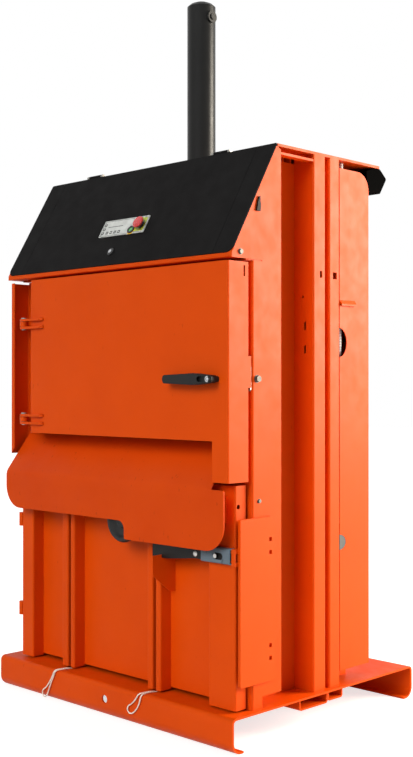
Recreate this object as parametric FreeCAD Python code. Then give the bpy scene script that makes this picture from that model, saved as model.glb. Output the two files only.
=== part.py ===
"""Upright recycling baler: folded steel frame, feed door, chamber door, ram and controls.

Lengths are millimetres. While modelling, X = 0 is the middle of the machine (+X to the right
of someone facing it), Y = 0 is the front face of the base and +Y runs to the back, and Z = 0 is
the floor. The finished solids are moved so that the origin is the middle of the footprint.
"""
import FreeCAD, Part
import math
import os

Vector = FreeCAD.Vector
X_AXIS = Vector(1, 0, 0)
Y_AXIS = Vector(0, 1, 0)
Z_AXIS = Vector(0, 0, 1)
FORWARD = Vector(0, -1, 0)
DOWN = Vector(0, 0, -1)

# ---- base ------------------------------------------------------------------------------------
BASE_RIM = 18.0                        # how far the base stands out beside the body
BASE_DEPTH = 872.0
BASE_HEIGHT = 103.0
BASE_SHEET = 6.0
BASE_LIP = 46.0
BASE_TOP_BEND = 16.0
BASE_FOOT_BEND = 35.0
DRAIN_HEIGHT, DRAIN_RADIUS = 56.0, 12.5
SLOT_CENTRES = (-235.0, 176.0)
SLOT_WIDTH = 13.0
SLOT_FRONT = 30.0
SLOT_BACK = 590.0
BEAM_SHEET = 5.0
FRONT_BEAM = (300.0, 434.0, 33.0)      # front, back and depth of the beams under the floor plate
REAR_BEAM = (436.0, 508.0, 28.5)
BEAM_END_GAP = 8.0

# ---- body ------------------------------------------------------------------------------------
CHAMBER_WIDTH = 910.0                  # outside of the chamber walls
SIDE_DEPTH = 77.0                      # from a chamber wall to the outside of posts and columns
HALF_BODY = CHAMBER_WIDTH / 2 + SIDE_DEPTH
TOP_HEIGHT = 1750.0                    # upper face of the top plate
TOP_SHEET = 8.0
TOP_FRONT = 214.0
TOP_BACK = 725.0
CHAMBER_WALL = 5.0
CHAMBER_BACK = 645.0
CHAMBER_TRIM = 22.0                    # how far the chamber's head stays under the hood
FRAME_FRONT = 102.0                    # front plane of posts, chamber walls and header
SHEET_TOP = 1721.0
OPENING_TOP = 1400.0                   # underside of the hood
POST_DEPTH = 43.0
POST_SHEET = 4.0
PANEL_SHEET = 3.0
PANEL_BACK = 228.0
PANEL_FOOT = 138.0
PANEL_RETURN = 27.0
RAIL_HEIGHTS = (1719.0, 1726.0)        # the bar that bridges the gap from side panel to column
COLUMN_SHEET = 5.0
FRONT_COLUMN = (379.0, 438.0)
REAR_COLUMN = (456.0, 508.0)
FRONT_COLUMN_SLOT = (410.0, 422.0)
REAR_COLUMN_SLOT = (474.0, 494.0)
COLUMN_SLOT_HEIGHTS = (1367.0, 1388.0)
COVER_SHEET = 2.5
COVER_BACK = 658.0
COVER_FOOT = 147.0
COVER_TOP = 1716.0
COVER_CORNER = 55.0
COVER_RETURN = 52.0
BACK_PANEL_HALF = HALF_BODY - 32.0
GROMMET_Z = 547.0
LINES_FOOT = 600.0                     # where the conduit and cable end in the grommet's block
BEAM_HEIGHT = 60.0
BEAM_WIDTH = 40.0
TOP_BEAM_SHEET = 6.0
BEAM_OFFSET = 60.0                     # from the cylinder's axis to the nearer face of each beam
WALL_FRONT = 28.0                      # front edge of the hinge wall at the left
WALL_FLANGE = 20.0
WALL_REAR_FLANGE = 32.0
WALL_TOP = 1390.0
WALL_LIFT = 17.0                       # how far the hinge wall's foot stays above the chute
WALL_RELIEF = 16.0                     # width of the wall's web that runs down beside the chute
SHELF_GAP = 12.0                       # between the parked platen and the header's shelf
HEADER_WEB = 212.0

# ---- hood and its lid ------------------------------------------------------------------------
HOOD_FRONT = 17.0
HOOD_LIP = 14.0
HOOD_SHEET = 3.0
HOOD_CORNER = 25.0
LIP_FLANGE = 25.0
LIP_FOOT = 43.0
LID_WIDTH = CHAMBER_WIDTH
LID_GAP = 1.0
LID_RETURN = 14.0
LID_HINGES = (-300.0, 300.0)
LID_EYE = 5.0
LID_EYE_LENGTH = 60.0
LID_PIN = 3.0

# ---- feed door -------------------------------------------------------------------------------
DOOR_SHEET = 2.5
DOOR_DEPTH = 85.0
DOOR_LEFT = 151.0 - HALF_BODY
DOOR_BACK_LEFT = 92.0 - HALF_BODY
DOOR_TOP = 1390.0
DOOR_FOOT = 878.0
DOOR_STILE = 62.0                      # right-hand margin that runs on below the main face
STILE_FOOT = 761.0
DOOR_RETURN = 20.0
DOOR_BEND = 6.0
TAB_HEIGHTS = (1030.0, 1121.0)
TAB_REACH = 12.0
LINER_SHEET = 2.0
DOOR_HINGE_X, DOOR_HINGE_Y = 107.0 - HALF_BODY, 5.0
DOOR_HINGE_HEIGHTS = (1244.0, 923.0)
LUG_SPACING = 26.0
LUG_THICK = 8.0
LUG_START = 220.0 - HALF_BODY
LUG_PROUD = 12.0
LUG_TAIL = 15.0
HINGE_KNUCKLE = 14.0
HINGE_PIN = 8.0
RUNNING = 0.08                         # radial clearance of a pin or spindle in its bore
SIDE_PLAY = 1.0                        # play along a hinge pin

# ---- feed door handle and latch --------------------------------------------------------------
HANDLE_X, HANDLE_Z = HALF_BODY - 45.0, 1055.0
HANDLE_LENGTH = 187.0
HANDLE_TAIL = 13.0
HANDLE_BASE = 12.0
HANDLE_PROUD = 38.0
HANDLE_SPINDLE = 6.0
BARREL_RADIUS = 5.0
BARREL_DEPTH = 16.0
BARREL_SINK = 0.5                      # how far the key barrel sits behind the handle's face
LATCH_THICK = 6.0
LATCH_REACH = 34.0
STRIKER_THICK = 4.0

# ---- chamber door ----------------------------------------------------------------------------
PANEL_FRONT = 92.0
PANEL_THICK = 4.0
RIB_FRONT = 47.0
RIB_SHEET = 4.0
LOWER_LEFT, LOWER_RIGHT = 40.0 - HALF_BODY, HALF_BODY - 16.0
LOWER_GAP = 6.0                        # between the stiles and the base plate
PANEL_GAP = 12.0
LOWER_TOP = 750.0
LEFT_STILE = 62.0
RIGHT_STILE = 107.0
RIBS_LEFT_OF_SLOT = (29.5, 23.5)
RIBS_RIGHT_OF_SLOT = (20.5, 22.5)
SLOT_TOP = 735.0
LOWER_HINGE_X, LOWER_HINGE_Y = 30.0 - HALF_BODY, 53.0
LOWER_KNUCKLE = 9.0
LOWER_PIN = 5.0
LOWER_HINGE_HEIGHTS = (574.0, 267.0)
KNUCKLE_HEIGHT = 23.0

# ---- chute and apron on the chamber door -----------------------------------------------------
APRON_FRONT = -5.0
APRON_SHEET = 4.0
APRON_LEFT, APRON_RIGHT = 20.0 - HALF_BODY, HALF_BODY - 12.0
CHUTE_FOOT = 742.0
CHUTE_BACK, CHUTE_TOP = 97.5, 875.0
CHUTE_RIGHT = HALF_BODY - 65.0
APRON_FOOT = 565.0
RELIEF_FOOT = 621.0
RELIEF_RIGHT = 97.0
APRON_CORNER = 75.0
APRON_BEND = 40.0
BRACKET_THICK = 4.0
BRACKET_HEIGHTS = (642.0, 722.0)

# ---- lock of the chamber door ----------------------------------------------------------------
WHEEL_X, WHEEL_Z = 70.0, 618.0
WHEEL_RADIUS = 67.0
WHEEL_FRONT, WHEEL_BACK = 4.0, 30.0
SPINDLE_RADIUS = 8.0
BUSH_RADIUS = 17.0
BUSH_FLANGE = 28.0
TOOTH_MODULE = 3.0
TOOTH_COUNT = 20
PRESSURE_ANGLE = math.radians(20)
BACKLASH = 0.5
BAR_FRONT, BAR_THICK = 34.0, 8.0
BAR_TRAVEL = 20.0
BAR_TAIL = 15.0
BAR_BODY = 185.0
BAR_TIP = LOWER_RIGHT - 6.0
BAR_FOOT, BAR_TOP = 518.0, 564.0
NOSE_Z, NOSE_HEIGHT = 548.0, 20.0
STUD_RADIUS = 6.5
GUIDE_LEFT = LOWER_RIGHT - 119.0
BAR_SHOULDER = GUIDE_LEFT - 5.0
RIVET_X, RIVET_RADIUS = GUIDE_LEFT - 28.0, 8.0
GUIDE_Z, GUIDE_HEIGHT = 550.0, 46.0
GUIDE_FRONT = 28.0
GUIDE_SHEET = 3.0
GUIDE_SLOT = (LOWER_RIGHT - 70.0, LOWER_RIGHT - 32.0, 10.0)   # ends and half height of the stud's slot
GUSSET_X, GUSSET_THICK = 223.5, 4.0
GUSSET_SLACK = 0.5
KEEPER_THICK = 10.0
KEEPER_FRONT, KEEPER_BACK = 42.0, 192.0
KEEPER_FOOT, KEEPER_TOP = 180.0, 656.0
KEEPER_HOLES = (591.0, 553.0, 283.0, 246.0)
KEEPER_HOLE_SIZE = 12.0
KEEPER_HOLE_Y = 170.0
POCKET_GAP = 3.0                       # between the door's edge and the keeper's pocket
POCKET_PLAY = 1.5

# ---- ram -------------------------------------------------------------------------------------
CYLINDER_Y = 431.0
CYLINDER_RADIUS = 48.0
CYLINDER_BORE = 40.0
CYLINDER_FOOT = 1540.0
CYLINDER_TOP = 2337.0
CAP_HEIGHT = 27.0
CAP_PLUG = 26.0
GLAND_HEIGHT = 40.0
GLAND_COLLAR = 12.0
PORT_Z, PORT_RADIUS, PORT_REACH = 2281.0, 20.0, 5.5
FLANGE_RADIUS = 100.0
FLANGE_THICK = 25.0
FLANGE_COLLAR = 14.0
COLLAR_HEIGHT = 20.0
ROD_RADIUS = 25.0
PISTON_HEIGHT = 45.0
PLATEN_Z = 1405.0
PLATEN_HEIGHT = 95.0
PLATEN_SHEET = 8.0
PLATEN_GAP = 10.0
PLATEN_BOSS = (120.0, 60.0, 20.0)      # half width, half depth and height of the rod's boss

# ---- oil tank --------------------------------------------------------------------------------
TANK_HEIGHT = 200.0
TANK_GAP = 50.0                        # from the chamber wall to the tank

# ---- controls on the lid ---------------------------------------------------------------------
CONTROL_SPAN = (-113.0, 100.0, 115.0, 179.0)   # across from and to, up the slope from and to
CONTROL_SHEET = 3.0
CONTACT_DEPTH = 17.5                   # how far the contact blocks reach behind the lid
ESTOP_X, ESTOP_S = 77.0, 144.0
ESTOP_RADIUS = 22.5
ESTOP_NECK = 10.0
ESTOP_STEM = 6.0
ESTOP_TRAVEL = 4.0
START_X, START_S = 38.0, 129.0
START_RADIUS = 8.0
START_NECK = 11.0
START_STEM = 4.0
START_CAP = 4.0
RING_HEIGHT = 4.0
RING_LIP = 3.0
LID_LOCK_X, LID_LOCK_S = -16.0, 51.0
LID_LOCK_RADIUS = 6.0
LID_LOCK_NECK = 10.0
LID_LOCK_DEPTH = 12.0
LOCK_CAM = (18.5, 15.0)                # depth behind the lid of the cam's two faces

# ---- places worked out from the sizes above --------------------------------------------------
HALF_BASE = HALF_BODY + BASE_RIM
HALF_CHAMBER = CHAMBER_WIDTH / 2
INSIDE = HALF_CHAMBER - CHAMBER_WALL
POST_BACK = FRAME_FRONT + POST_DEPTH
POST_TOP = OPENING_TOP - PANEL_SHEET
COLUMN_TOP = TOP_HEIGHT - TOP_SHEET
COVER_FRONT = REAR_COLUMN[1]
HOOD_Z = OPENING_TOP + HOOD_LIP
HOOD_LENGTH = math.hypot(TOP_FRONT - HOOD_FRONT, TOP_HEIGHT - HOOD_Z)
SLOPE = Vector(0, (TOP_FRONT - HOOD_FRONT) / HOOD_LENGTH, (TOP_HEIGHT - HOOD_Z) / HOOD_LENGTH)
OUTWARD = Vector(0, -SLOPE.z, SLOPE.y)
LID_HINGE_Y = TOP_FRONT + 2.0
LID_HINGE_Z = TOP_HEIGHT + LID_EYE + 0.3
STILE_LEFT = HALF_BODY - DOOR_STILE
CHUTE_PITCH = (CHUTE_TOP - CHUTE_FOOT) / (CHUTE_BACK - APRON_FRONT)
CHUTE_DROP = APRON_SHEET * math.hypot(1, CHUTE_PITCH)
APRON_BACK = APRON_FRONT + APRON_SHEET
PITCH_RADIUS = TOOTH_MODULE * TOOTH_COUNT / 2
RACK_LINE = WHEEL_Z - PITCH_RADIUS
RACK_ROOT = RACK_LINE - 1.25 * TOOTH_MODULE
BAR_BACK = BAR_FRONT + BAR_THICK
GUIDE_FOOT = GUIDE_Z - GUIDE_HEIGHT / 2
STUD_X = (GUIDE_SLOT[0] + GUIDE_SLOT[1] - BAR_TRAVEL) / 2
LATCH_Y = DOOR_DEPTH + LINER_SHEET + 0.5
PLATEN_TOP = PLATEN_Z + PLATEN_HEIGHT
SHELF = PLATEN_TOP + SHELF_GAP
TUBE_TOP = CYLINDER_TOP - CAP_HEIGHT
LID_FACE = HOOD_SHEET + CONTROL_SHEET
FOOTPRINT_Y = (BASE_DEPTH - HANDLE_PROUD) / 2


# ---- building blocks -------------------------------------------------------------------------
def block(x0, x1, y0, y1, z0, z1):
    """A plain rectangular solid between two corners."""
    return Part.makeBox(x1 - x0, y1 - y0, z1 - z0, Vector(x0, y0, z0))


def rod(radius, start, axis, length):
    """A round bar from a point along an axis."""
    return Part.makeCylinder(radius, length, start, axis)


def joined(*shapes):
    """Several overlapping or touching shapes made into one solid."""
    return shapes[0].fuse(list(shapes[1:])).removeSplitter()


def group(*shapes):
    """Separate solids that share one node."""
    return Part.makeCompound(list(shapes))


def outline(corners):
    """A closed flat wire through (point, radius) corners, with a tangent arc at each radius."""
    entries, exits, arcs = [], [], {}
    count = len(corners)
    for i, (point, radius) in enumerate(corners):
        before = (corners[i - 1][0] - point).normalize()
        after = (corners[(i + 1) % count][0] - point).normalize()
        if radius <= 0:
            entries.append(point)
            exits.append(point)
            continue
        half = before.getAngle(after) / 2
        reach = radius / math.tan(half)
        bisector = (before + after).normalize()
        middle = point + bisector * (radius / math.sin(half) - radius)
        entries.append(point + before * reach)
        exits.append(point + after * reach)
        arcs[i] = Part.Arc(entries[-1], middle, exits[-1]).toShape()
    edges = []
    for i in range(count):
        if i in arcs:
            edges.append(arcs[i])
        start, end = exits[i], entries[(i + 1) % count]
        if start.distanceToPoint(end) > 1e-6:
            edges.append(Part.LineSegment(start, end).toShape())
    return Part.Wire(edges)


PLANES = {
    "XY": (lambda u, v, w: Vector(u, v, w), Z_AXIS),
    "YZ": (lambda u, v, w: Vector(w, u, v), X_AXIS),
    "XZ": (lambda u, v, w: Vector(u, w, v), Y_AXIS),
}


def prism(plane, corners, low, high):
    """Extrude a flat outline of (u, v) or (u, v, radius) corners across the named plane."""
    place, normal = PLANES[plane]
    points = [(place(c[0], c[1], low), c[2] if len(c) > 2 else 0) for c in corners]
    return Part.Face(outline(points)).extrude(normal * (high - low))


def fold(plane, path, sheet, bend, low, high):
    """A bent sheet along a path of (u, v) or (u, v, bend) corners.

    The path is one surface of the sheet and the metal lies to its left. A bend is given by its
    outer radius.
    """
    near, far = [], []
    last = len(path) - 1
    for i, corner in enumerate(path):
        u, v = corner[0], corner[1]
        outer = corner[2] if len(corner) > 2 else bend
        legs = []
        if i > 0:
            legs.append((u - path[i - 1][0], v - path[i - 1][1]))
        if i < last:
            legs.append((path[i + 1][0] - u, path[i + 1][1] - v))
        normals = [(-b / math.hypot(a, b), a / math.hypot(a, b)) for a, b in legs]
        if len(normals) == 1:
            near.append((u, v, 0))
            far.append((u + normals[0][0] * sheet, v + normals[0][1] * sheet, 0))
            continue
        (nu, nv), (mu, mv) = normals
        scale = sheet / (1 + nu * mu + nv * mv)
        inside = max(outer - sheet, 0.5)
        left_turn = legs[0][0] * legs[1][1] > legs[0][1] * legs[1][0]
        near.append((u, v, outer if left_turn else inside))
        far.append((u + (nu + mu) * scale, v + (nv + mv) * scale, inside if left_turn else outer))
    return prism(plane, near + far[::-1], low, high)


def mirrored(shape):
    """The same piece on the other side of the machine."""
    return shape.mirror(Vector(0, 0, 0), X_AXIS)


def both_sides(shape):
    """A right-hand piece and its left-hand mirror image as two solids."""
    return group(shape, mirrored(shape))


def turned(profile, axis, place):
    """A body of revolution from (radius, along, corner radius) points."""
    corners = [(Vector(r, 0, h), k) for r, h, k in profile]
    body = Part.Face(outline(corners)).revolve(Vector(0, 0, 0), Z_AXIS, 360)
    body.Placement = FreeCAD.Placement(place, FreeCAD.Rotation(Z_AXIS, axis))
    return body


def hex_head(centre, axis, across, height):
    """A bolt head: a hexagon across its flats, with its height along the axis."""
    reach = across / math.sqrt(3)
    turns = [math.radians(60 * k) for k in range(6)]
    ring = [Vector(reach * math.cos(turn), reach * math.sin(turn), 0) for turn in turns]
    head = Part.Face(Part.makePolygon(ring + ring[:1])).extrude(Z_AXIS * height)
    head.Placement = FreeCAD.Placement(centre, FreeCAD.Rotation(Z_AXIS, axis))
    return head


def on_hood(x, along, out=0.0):
    """A point on the sloping hood: across, up the slope from its lower edge, and out from it."""
    return Vector(x, HOOD_FRONT, HOOD_Z) + SLOPE * along + OUTWARD * out


def hood_slab(x0, x1, s0, s1, low, high, radii=(0, 0, 0, 0)):
    """A plate parallel to the hood: its outline up the slope and its thickness outward."""
    spots = ((x0, s0), (x1, s0), (x1, s1), (x0, s1))
    corners = [(on_hood(x, s, low), r) for (x, s), r in zip(spots, radii)]
    return Part.Face(outline(corners)).extrude(OUTWARD * (high - low))


# ---- base ------------------------------------------------------------------------------------
def base_pan():
    """The floor plate, folded down at the front and back and in again as lips."""
    path = [(BASE_DEPTH - BASE_LIP, 0), (BASE_DEPTH, 0, BASE_FOOT_BEND), (BASE_DEPTH, BASE_HEIGHT),
            (0, BASE_HEIGHT), (0, 0, BASE_FOOT_BEND), (BASE_LIP, 0)]
    pan = fold("YZ", path, BASE_SHEET, BASE_TOP_BEND, -HALF_BASE, HALF_BASE)
    pan = pan.cut(rod(DRAIN_RADIUS, Vector(0, -1, DRAIN_HEIGHT), Y_AXIS, BASE_SHEET + 2))
    for centre in SLOT_CENTRES:
        half = SLOT_WIDTH / 2
        pan = pan.cut(block(centre - half, centre + half, SLOT_FRONT, SLOT_BACK,
                            BASE_HEIGHT - BASE_SHEET - 1, BASE_HEIGHT + 1))
    return pan


def base_beam(front, back, drop):
    """A channel under the floor plate that carries the columns' load across the base."""
    under = BASE_HEIGHT - BASE_SHEET
    path = [(front, under), (front, under - drop), (back, under - drop), (back, under)]
    half = HALF_BASE - BEAM_END_GAP
    return fold("YZ", path, BEAM_SHEET, 9.0, -half, half)


# ---- frame -----------------------------------------------------------------------------------
def bale_chamber():
    """Side and back walls of the press chamber, folded from one sheet and trimmed under the hood."""
    path = [(HALF_CHAMBER, FRAME_FRONT), (HALF_CHAMBER, CHAMBER_BACK),
            (-HALF_CHAMBER, CHAMBER_BACK), (-HALF_CHAMBER, FRAME_FRONT)]
    walls = fold("XY", path, CHAMBER_WALL, 12.0, BASE_HEIGHT, SHEET_TOP)
    return walls.cut(hood_slab(-HALF_BODY, HALF_BODY, 0, HOOD_LENGTH + 50, -CHAMBER_TRIM,
                               6 * CHAMBER_TRIM))


def front_post():
    """The right-hand front post: a channel open to the back, from the base to the header."""
    path = [(HALF_CHAMBER, POST_BACK), (HALF_CHAMBER, FRAME_FRONT),
            (HALF_BODY, FRAME_FRONT), (HALF_BODY, POST_BACK)]
    return fold("XY", path, POST_SHEET, 7.0, BASE_HEIGHT, POST_TOP)


def side_panel():
    """The right-hand outer sheet: the strip behind the post, the cheek beside the hood, and its rail."""
    top = COLUMN_TOP - 1
    edge = HOOD_FRONT + (top - HOOD_Z) * SLOPE.y / SLOPE.z
    sheet = prism("YZ", [
        (POST_BACK, PANEL_FOOT), (PANEL_BACK, PANEL_FOOT), (PANEL_BACK, top - 9, 3),
        (PANEL_BACK - 13, top, 3), (edge, top), (HOOD_FRONT, HOOD_Z), (HOOD_FRONT, OPENING_TOP),
        (POST_BACK, OPENING_TOP)], HALF_BODY - PANEL_SHEET, HALF_BODY)
    back_return = block(HALF_BODY - PANEL_RETURN, HALF_BODY - PANEL_SHEET, PANEL_BACK - PANEL_SHEET,
                        PANEL_BACK, PANEL_FOOT, RAIL_HEIGHTS[0])
    rail = block(HALF_BODY - PANEL_RETURN, HALF_BODY, PANEL_BACK - PANEL_SHEET, FRONT_COLUMN[0],
                 *RAIL_HEIGHTS)
    return joined(sheet, back_return, rail)


def hinge_wall():
    """The left wall beside the feed door, with a tapered front flange and its rear flange cut short."""
    left = -HALF_BODY
    path = [(left + WALL_REAR_FLANGE, FRAME_FRONT), (left, FRAME_FRONT), (left, WALL_FRONT),
            (left + WALL_FLANGE, WALL_FRONT)]
    low = CHUTE_FOOT + (WALL_FRONT - APRON_FRONT) * CHUTE_PITCH + WALL_LIFT
    wall = fold("XY", path, PANEL_SHEET, 6.0, low, WALL_TOP)
    below = block(left + WALL_RELIEF, left + WALL_REAR_FLANGE + 1, FRAME_FRONT - PANEL_SHEET - 1,
                  FRAME_FRONT + 1, low - 1, CHUTE_TOP + WALL_LIFT)
    taper = prism("XZ", [(left + 4, low - 6), (left + WALL_FLANGE + 1, low - 6),
                         (left + WALL_FLANGE + 1, low + 22), (left + 4, low + 1)],
                  WALL_FRONT - 1, WALL_FRONT + PANEL_SHEET + 1)
    return wall.cut(below).cut(taper)


def column(span, slot):
    """A right-hand column: a channel with its web outside and its flanges on the chamber wall."""
    front, back = span
    path = [(HALF_CHAMBER, front), (HALF_BODY, front), (HALF_BODY, back), (HALF_CHAMBER, back)]
    body = fold("XY", path, COLUMN_SHEET, 6.0, BASE_HEIGHT, COLUMN_TOP)
    return body.cut(block(HALF_BODY - COLUMN_SHEET - 1, HALF_BODY + 1, *slot, *COLUMN_SLOT_HEIGHTS))


def front_column():
    """The front right-hand column, with the small openings in its front flange."""
    body = column(FRONT_COLUMN, FRONT_COLUMN_SLOT)
    front = FRONT_COLUMN[0] - 1
    through = COLUMN_SHEET + 2
    for low, high in ((1207, 1231), (1135, 1159)):
        body = body.cut(block(494, 502, front, front + through, low, high))
    return body.cut(rod(4, Vector(490, front, 1308), Y_AXIS, through))


def half_oval(front, reach, centre_z, half_height, x0, x1):
    """A half oval in the side plane, flat at its front edge."""
    centre = Vector(x0, front, centre_z)
    tall = Vector(x0, front, centre_z + half_height)
    deep = Vector(x0, front + reach, centre_z)
    ends = (tall, deep) if half_height > reach else (deep, tall)
    ellipse = Part.Ellipse(*ends, centre)
    oval = Part.Face(Part.Wire([ellipse.toShape()])).extrude(X_AXIS * (x1 - x0))
    return oval.common(block(x0, x1, front, front + reach + 1, centre_z - half_height - 1,
                             centre_z + half_height + 1))


def side_cover(openings):
    """The right-hand rear cover: rear and top returns, a pressed louvre and any hose openings."""
    y0, y1 = COVER_FRONT, COVER_BACK
    inner = HALF_BODY - COVER_SHEET
    sheet = prism("YZ", [(y0, COVER_FOOT), (y1, COVER_FOOT), (y1, COVER_TOP, COVER_CORNER),
                         (y0, COVER_TOP)], inner, HALF_BODY)
    rear = block(HALF_BODY - COVER_RETURN, inner, y1 - COVER_SHEET, y1, COVER_FOOT,
                 COVER_TOP - COVER_CORNER - 5)
    top = block(HALF_BODY - 25, inner, y0, y1 - COVER_CORNER - 2, COVER_TOP - COVER_SHEET, COVER_TOP)
    cover = joined(sheet, rear, top)
    mouth = block(inner - 1, HALF_BODY + 1, y0 + 5, y0 + 76, 1286, 1298)
    louvre = prism("XZ", [(HALF_BODY, 1304), (HALF_BODY + 7, 1292), (HALF_BODY + 7, 1286),
                          (HALF_BODY + 4.5, 1286), (HALF_BODY + 4.5, 1291), (inner, 1298),
                          (inner, 1304)], y0 + 3, y0 + 78)
    cover = joined(cover.cut(mouth), louvre)
    if openings:
        cover = cover.cut(half_oval(y0, 36, 1171, 45, inner - 1, HALF_BODY + 1))
        cover = cover.cut(half_oval(y0, 31, GROMMET_Z, 24, inner - 1, HALF_BODY + 1))
    return cover


def cable_grommet():
    """The rubber plug in the right-hand cover's lower opening, with the block the lines end in."""
    face = half_oval(COVER_FRONT, 30.5, GROMMET_Z, 23.5, HALF_BODY - 22, HALF_BODY - 0.8)
    inner = block(HALF_BODY - 54, HALF_BODY - 20, COVER_FRONT, COVER_FRONT + 62, LINES_FOOT - 80, LINES_FOOT)
    return joined(face, inner)


def back_panel():
    """The sheet that closes the back between the side covers, with two pressed ribs."""
    y0 = COVER_BACK - 2 * COVER_SHEET
    y1 = y0 + COVER_SHEET
    panel = block(-BACK_PANEL_HALF, BACK_PANEL_HALF, y0, y1, COVER_FOOT, COVER_TOP)
    low, high = COVER_FOOT + 80, COVER_TOP - 140
    for x in (-BACK_PANEL_HALF / 2, BACK_PANEL_HALF / 2):
        rib = prism("XY", [(x - 34, y1), (x - 20, y1 + 11, 4), (x + 20, y1 + 11, 4), (x + 34, y1)],
                    low, high)
        groove = prism("XY", [(x - 33, y0 - 1), (x - 18.5, y0 + 11, 4), (x + 18.5, y0 + 11, 4),
                              (x + 33, y0 - 1)], low + 3, high - 3)
        panel = joined(panel, rib).cut(groove)
    return panel


def top_plate():
    """The plate across the columns that carries the cylinder."""
    plate = prism("XY", [(-HALF_BODY, TOP_FRONT), (HALF_BODY, TOP_FRONT), (HALF_BODY, TOP_BACK, 12),
                         (-HALF_BODY, TOP_BACK, 12)], COLUMN_TOP, TOP_HEIGHT)
    return plate.cut(rod(CYLINDER_RADIUS + 1, Vector(0, CYLINDER_Y, COLUMN_TOP - 1), Z_AXIS,
                         TOP_SHEET + 2))


def top_beam(front):
    """A channel under the top plate, across the chamber's head."""
    foot = COLUMN_TOP - BEAM_HEIGHT
    path = [(front, COLUMN_TOP), (front, foot), (front + BEAM_WIDTH, foot),
            (front + BEAM_WIDTH, COLUMN_TOP)]
    return fold("YZ", path, TOP_BEAM_SHEET, 9.0, -INSIDE, INSIDE)


def header():
    """The folded sheet over the feed opening: door strip, front face, shelf and rear web."""
    half = HALF_BODY - PANEL_SHEET
    path = [(FRAME_FRONT - 24, POST_TOP), (FRAME_FRONT, POST_TOP), (FRAME_FRONT, SHELF),
            (HEADER_WEB, SHELF), (HEADER_WEB, SHEET_TOP - 21)]
    sheet = fold("YZ", path, PANEL_SHEET, 5.0, -half, half)
    for x0, x1 in ((INSIDE, half + 1), (-half - 1, -INSIDE)):
        sheet = sheet.cut(block(x0, x1, FRAME_FRONT, HEADER_WEB + 1, SHELF - 5, SHEET_TOP))
    return sheet


def cheek_hook():
    """The small wedge-shaped hook on the right-hand cheek."""
    y, z = FRAME_FRONT + 14, HOOD_Z + 127
    return prism("YZ", [(y, z), (y + 16, z), (y + 18, z + 19), (y + 15, z + 31), (y + 16, z + 43),
                        (y + 12, z + 43), (y + 6, z + 27)], HALF_BODY, HALF_BODY + 6)


def side_bolt(y, z, across, height):
    """A bolt head with its washer on the right-hand side of the body."""
    centre = Vector(HALF_BODY, y, z)
    return joined(rod(across * 0.68, centre, X_AXIS, 1.5),
                  hex_head(centre + X_AXIS * 1.5, X_AXIS, across, height))


def flange_bolts():
    """The four bolts of the cylinder flange."""
    reach = (FLANGE_RADIUS + CYLINDER_RADIUS + FLANGE_COLLAR) / 2 / math.sqrt(2)
    top = TOP_HEIGHT + FLANGE_THICK
    return [hex_head(Vector(x, CYLINDER_Y + y, top), Z_AXIS, 19, 10)
            for x in (-reach, reach) for y in (-reach, reach)]


def frame_bolts():
    """The heads on the right-hand side, the cheek's hook, and the cylinder flange's four bolts."""
    return group(side_bolt(FRAME_FRONT + 20, HANDLE_Z + 1, 17, 8),
                 side_bolt(HOOD_FRONT + 35, HOOD_Z + 4, 13, 4),
                 side_bolt(FRAME_FRONT + 29, STILE_FOOT - 58, 10, 3), cheek_hook(), *flange_bolts())


# ---- hood ------------------------------------------------------------------------------------
def hood_lip():
    """The painted strip under the black hood, folded back under the lid along the slope."""
    inside = on_hood(0, LIP_FLANGE)
    path = [(inside.y, inside.z), (HOOD_FRONT, HOOD_Z), (HOOD_FRONT, OPENING_TOP),
            (HOOD_FRONT + LIP_FOOT, OPENING_TOP)]
    half = HALF_BODY - PANEL_SHEET
    return fold("YZ", path, PANEL_SHEET, 4.0, -half, half)


def hood_strip():
    """The fixed black strip over the right-hand cheek."""
    inner = LID_WIDTH / 2 + LID_GAP / 2
    return hood_slab(inner, HALF_BODY, 0, HOOD_LENGTH, 0, HOOD_SHEET, (0, HOOD_CORNER, 6, 0))


def lid_holes():
    """Place and radius of each hole in the lid: emergency stop, start button and lock."""
    return ((ESTOP_X, ESTOP_S, ESTOP_NECK), (START_X, START_S, START_NECK),
            (LID_LOCK_X, LID_LOCK_S, LID_LOCK_NECK))


def hood_lid():
    """The black lid: returns along its sides and foot, and rolled eyes for its hinge pins."""
    half = LID_WIDTH / 2 - LID_GAP / 2
    lid = hood_slab(-half, half, 0, HOOD_LENGTH, 0, HOOD_SHEET)
    foot = LIP_FLANGE + 9
    returns = [hood_slab(x, x + HOOD_SHEET, foot, HOOD_LENGTH - 20, -LID_RETURN, 0)
               for x in (-half, half - HOOD_SHEET)]
    returns.append(hood_slab(-half, half, foot, foot + HOOD_SHEET, -LID_RETURN, 0))
    lid = joined(lid, *returns)
    for x in LID_HINGES:
        start = Vector(x - LID_EYE_LENGTH / 2, LID_HINGE_Y, LID_HINGE_Z)
        tongue = hood_slab(start.x, start.x + LID_EYE_LENGTH, HOOD_LENGTH - 5, HOOD_LENGTH + 3,
                           0, HOOD_SHEET)
        eye = rod(LID_EYE, start, X_AXIS, LID_EYE_LENGTH)
        bore = rod(LID_PIN + RUNNING, start - X_AXIS, X_AXIS, LID_EYE_LENGTH + 2)
        lid = joined(lid, tongue, eye).cut(bore)
    for x, s, radius in lid_holes():
        lid = lid.cut(rod(radius, on_hood(x, s, -1), OUTWARD, HOOD_SHEET + 2))
    return lid


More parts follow.
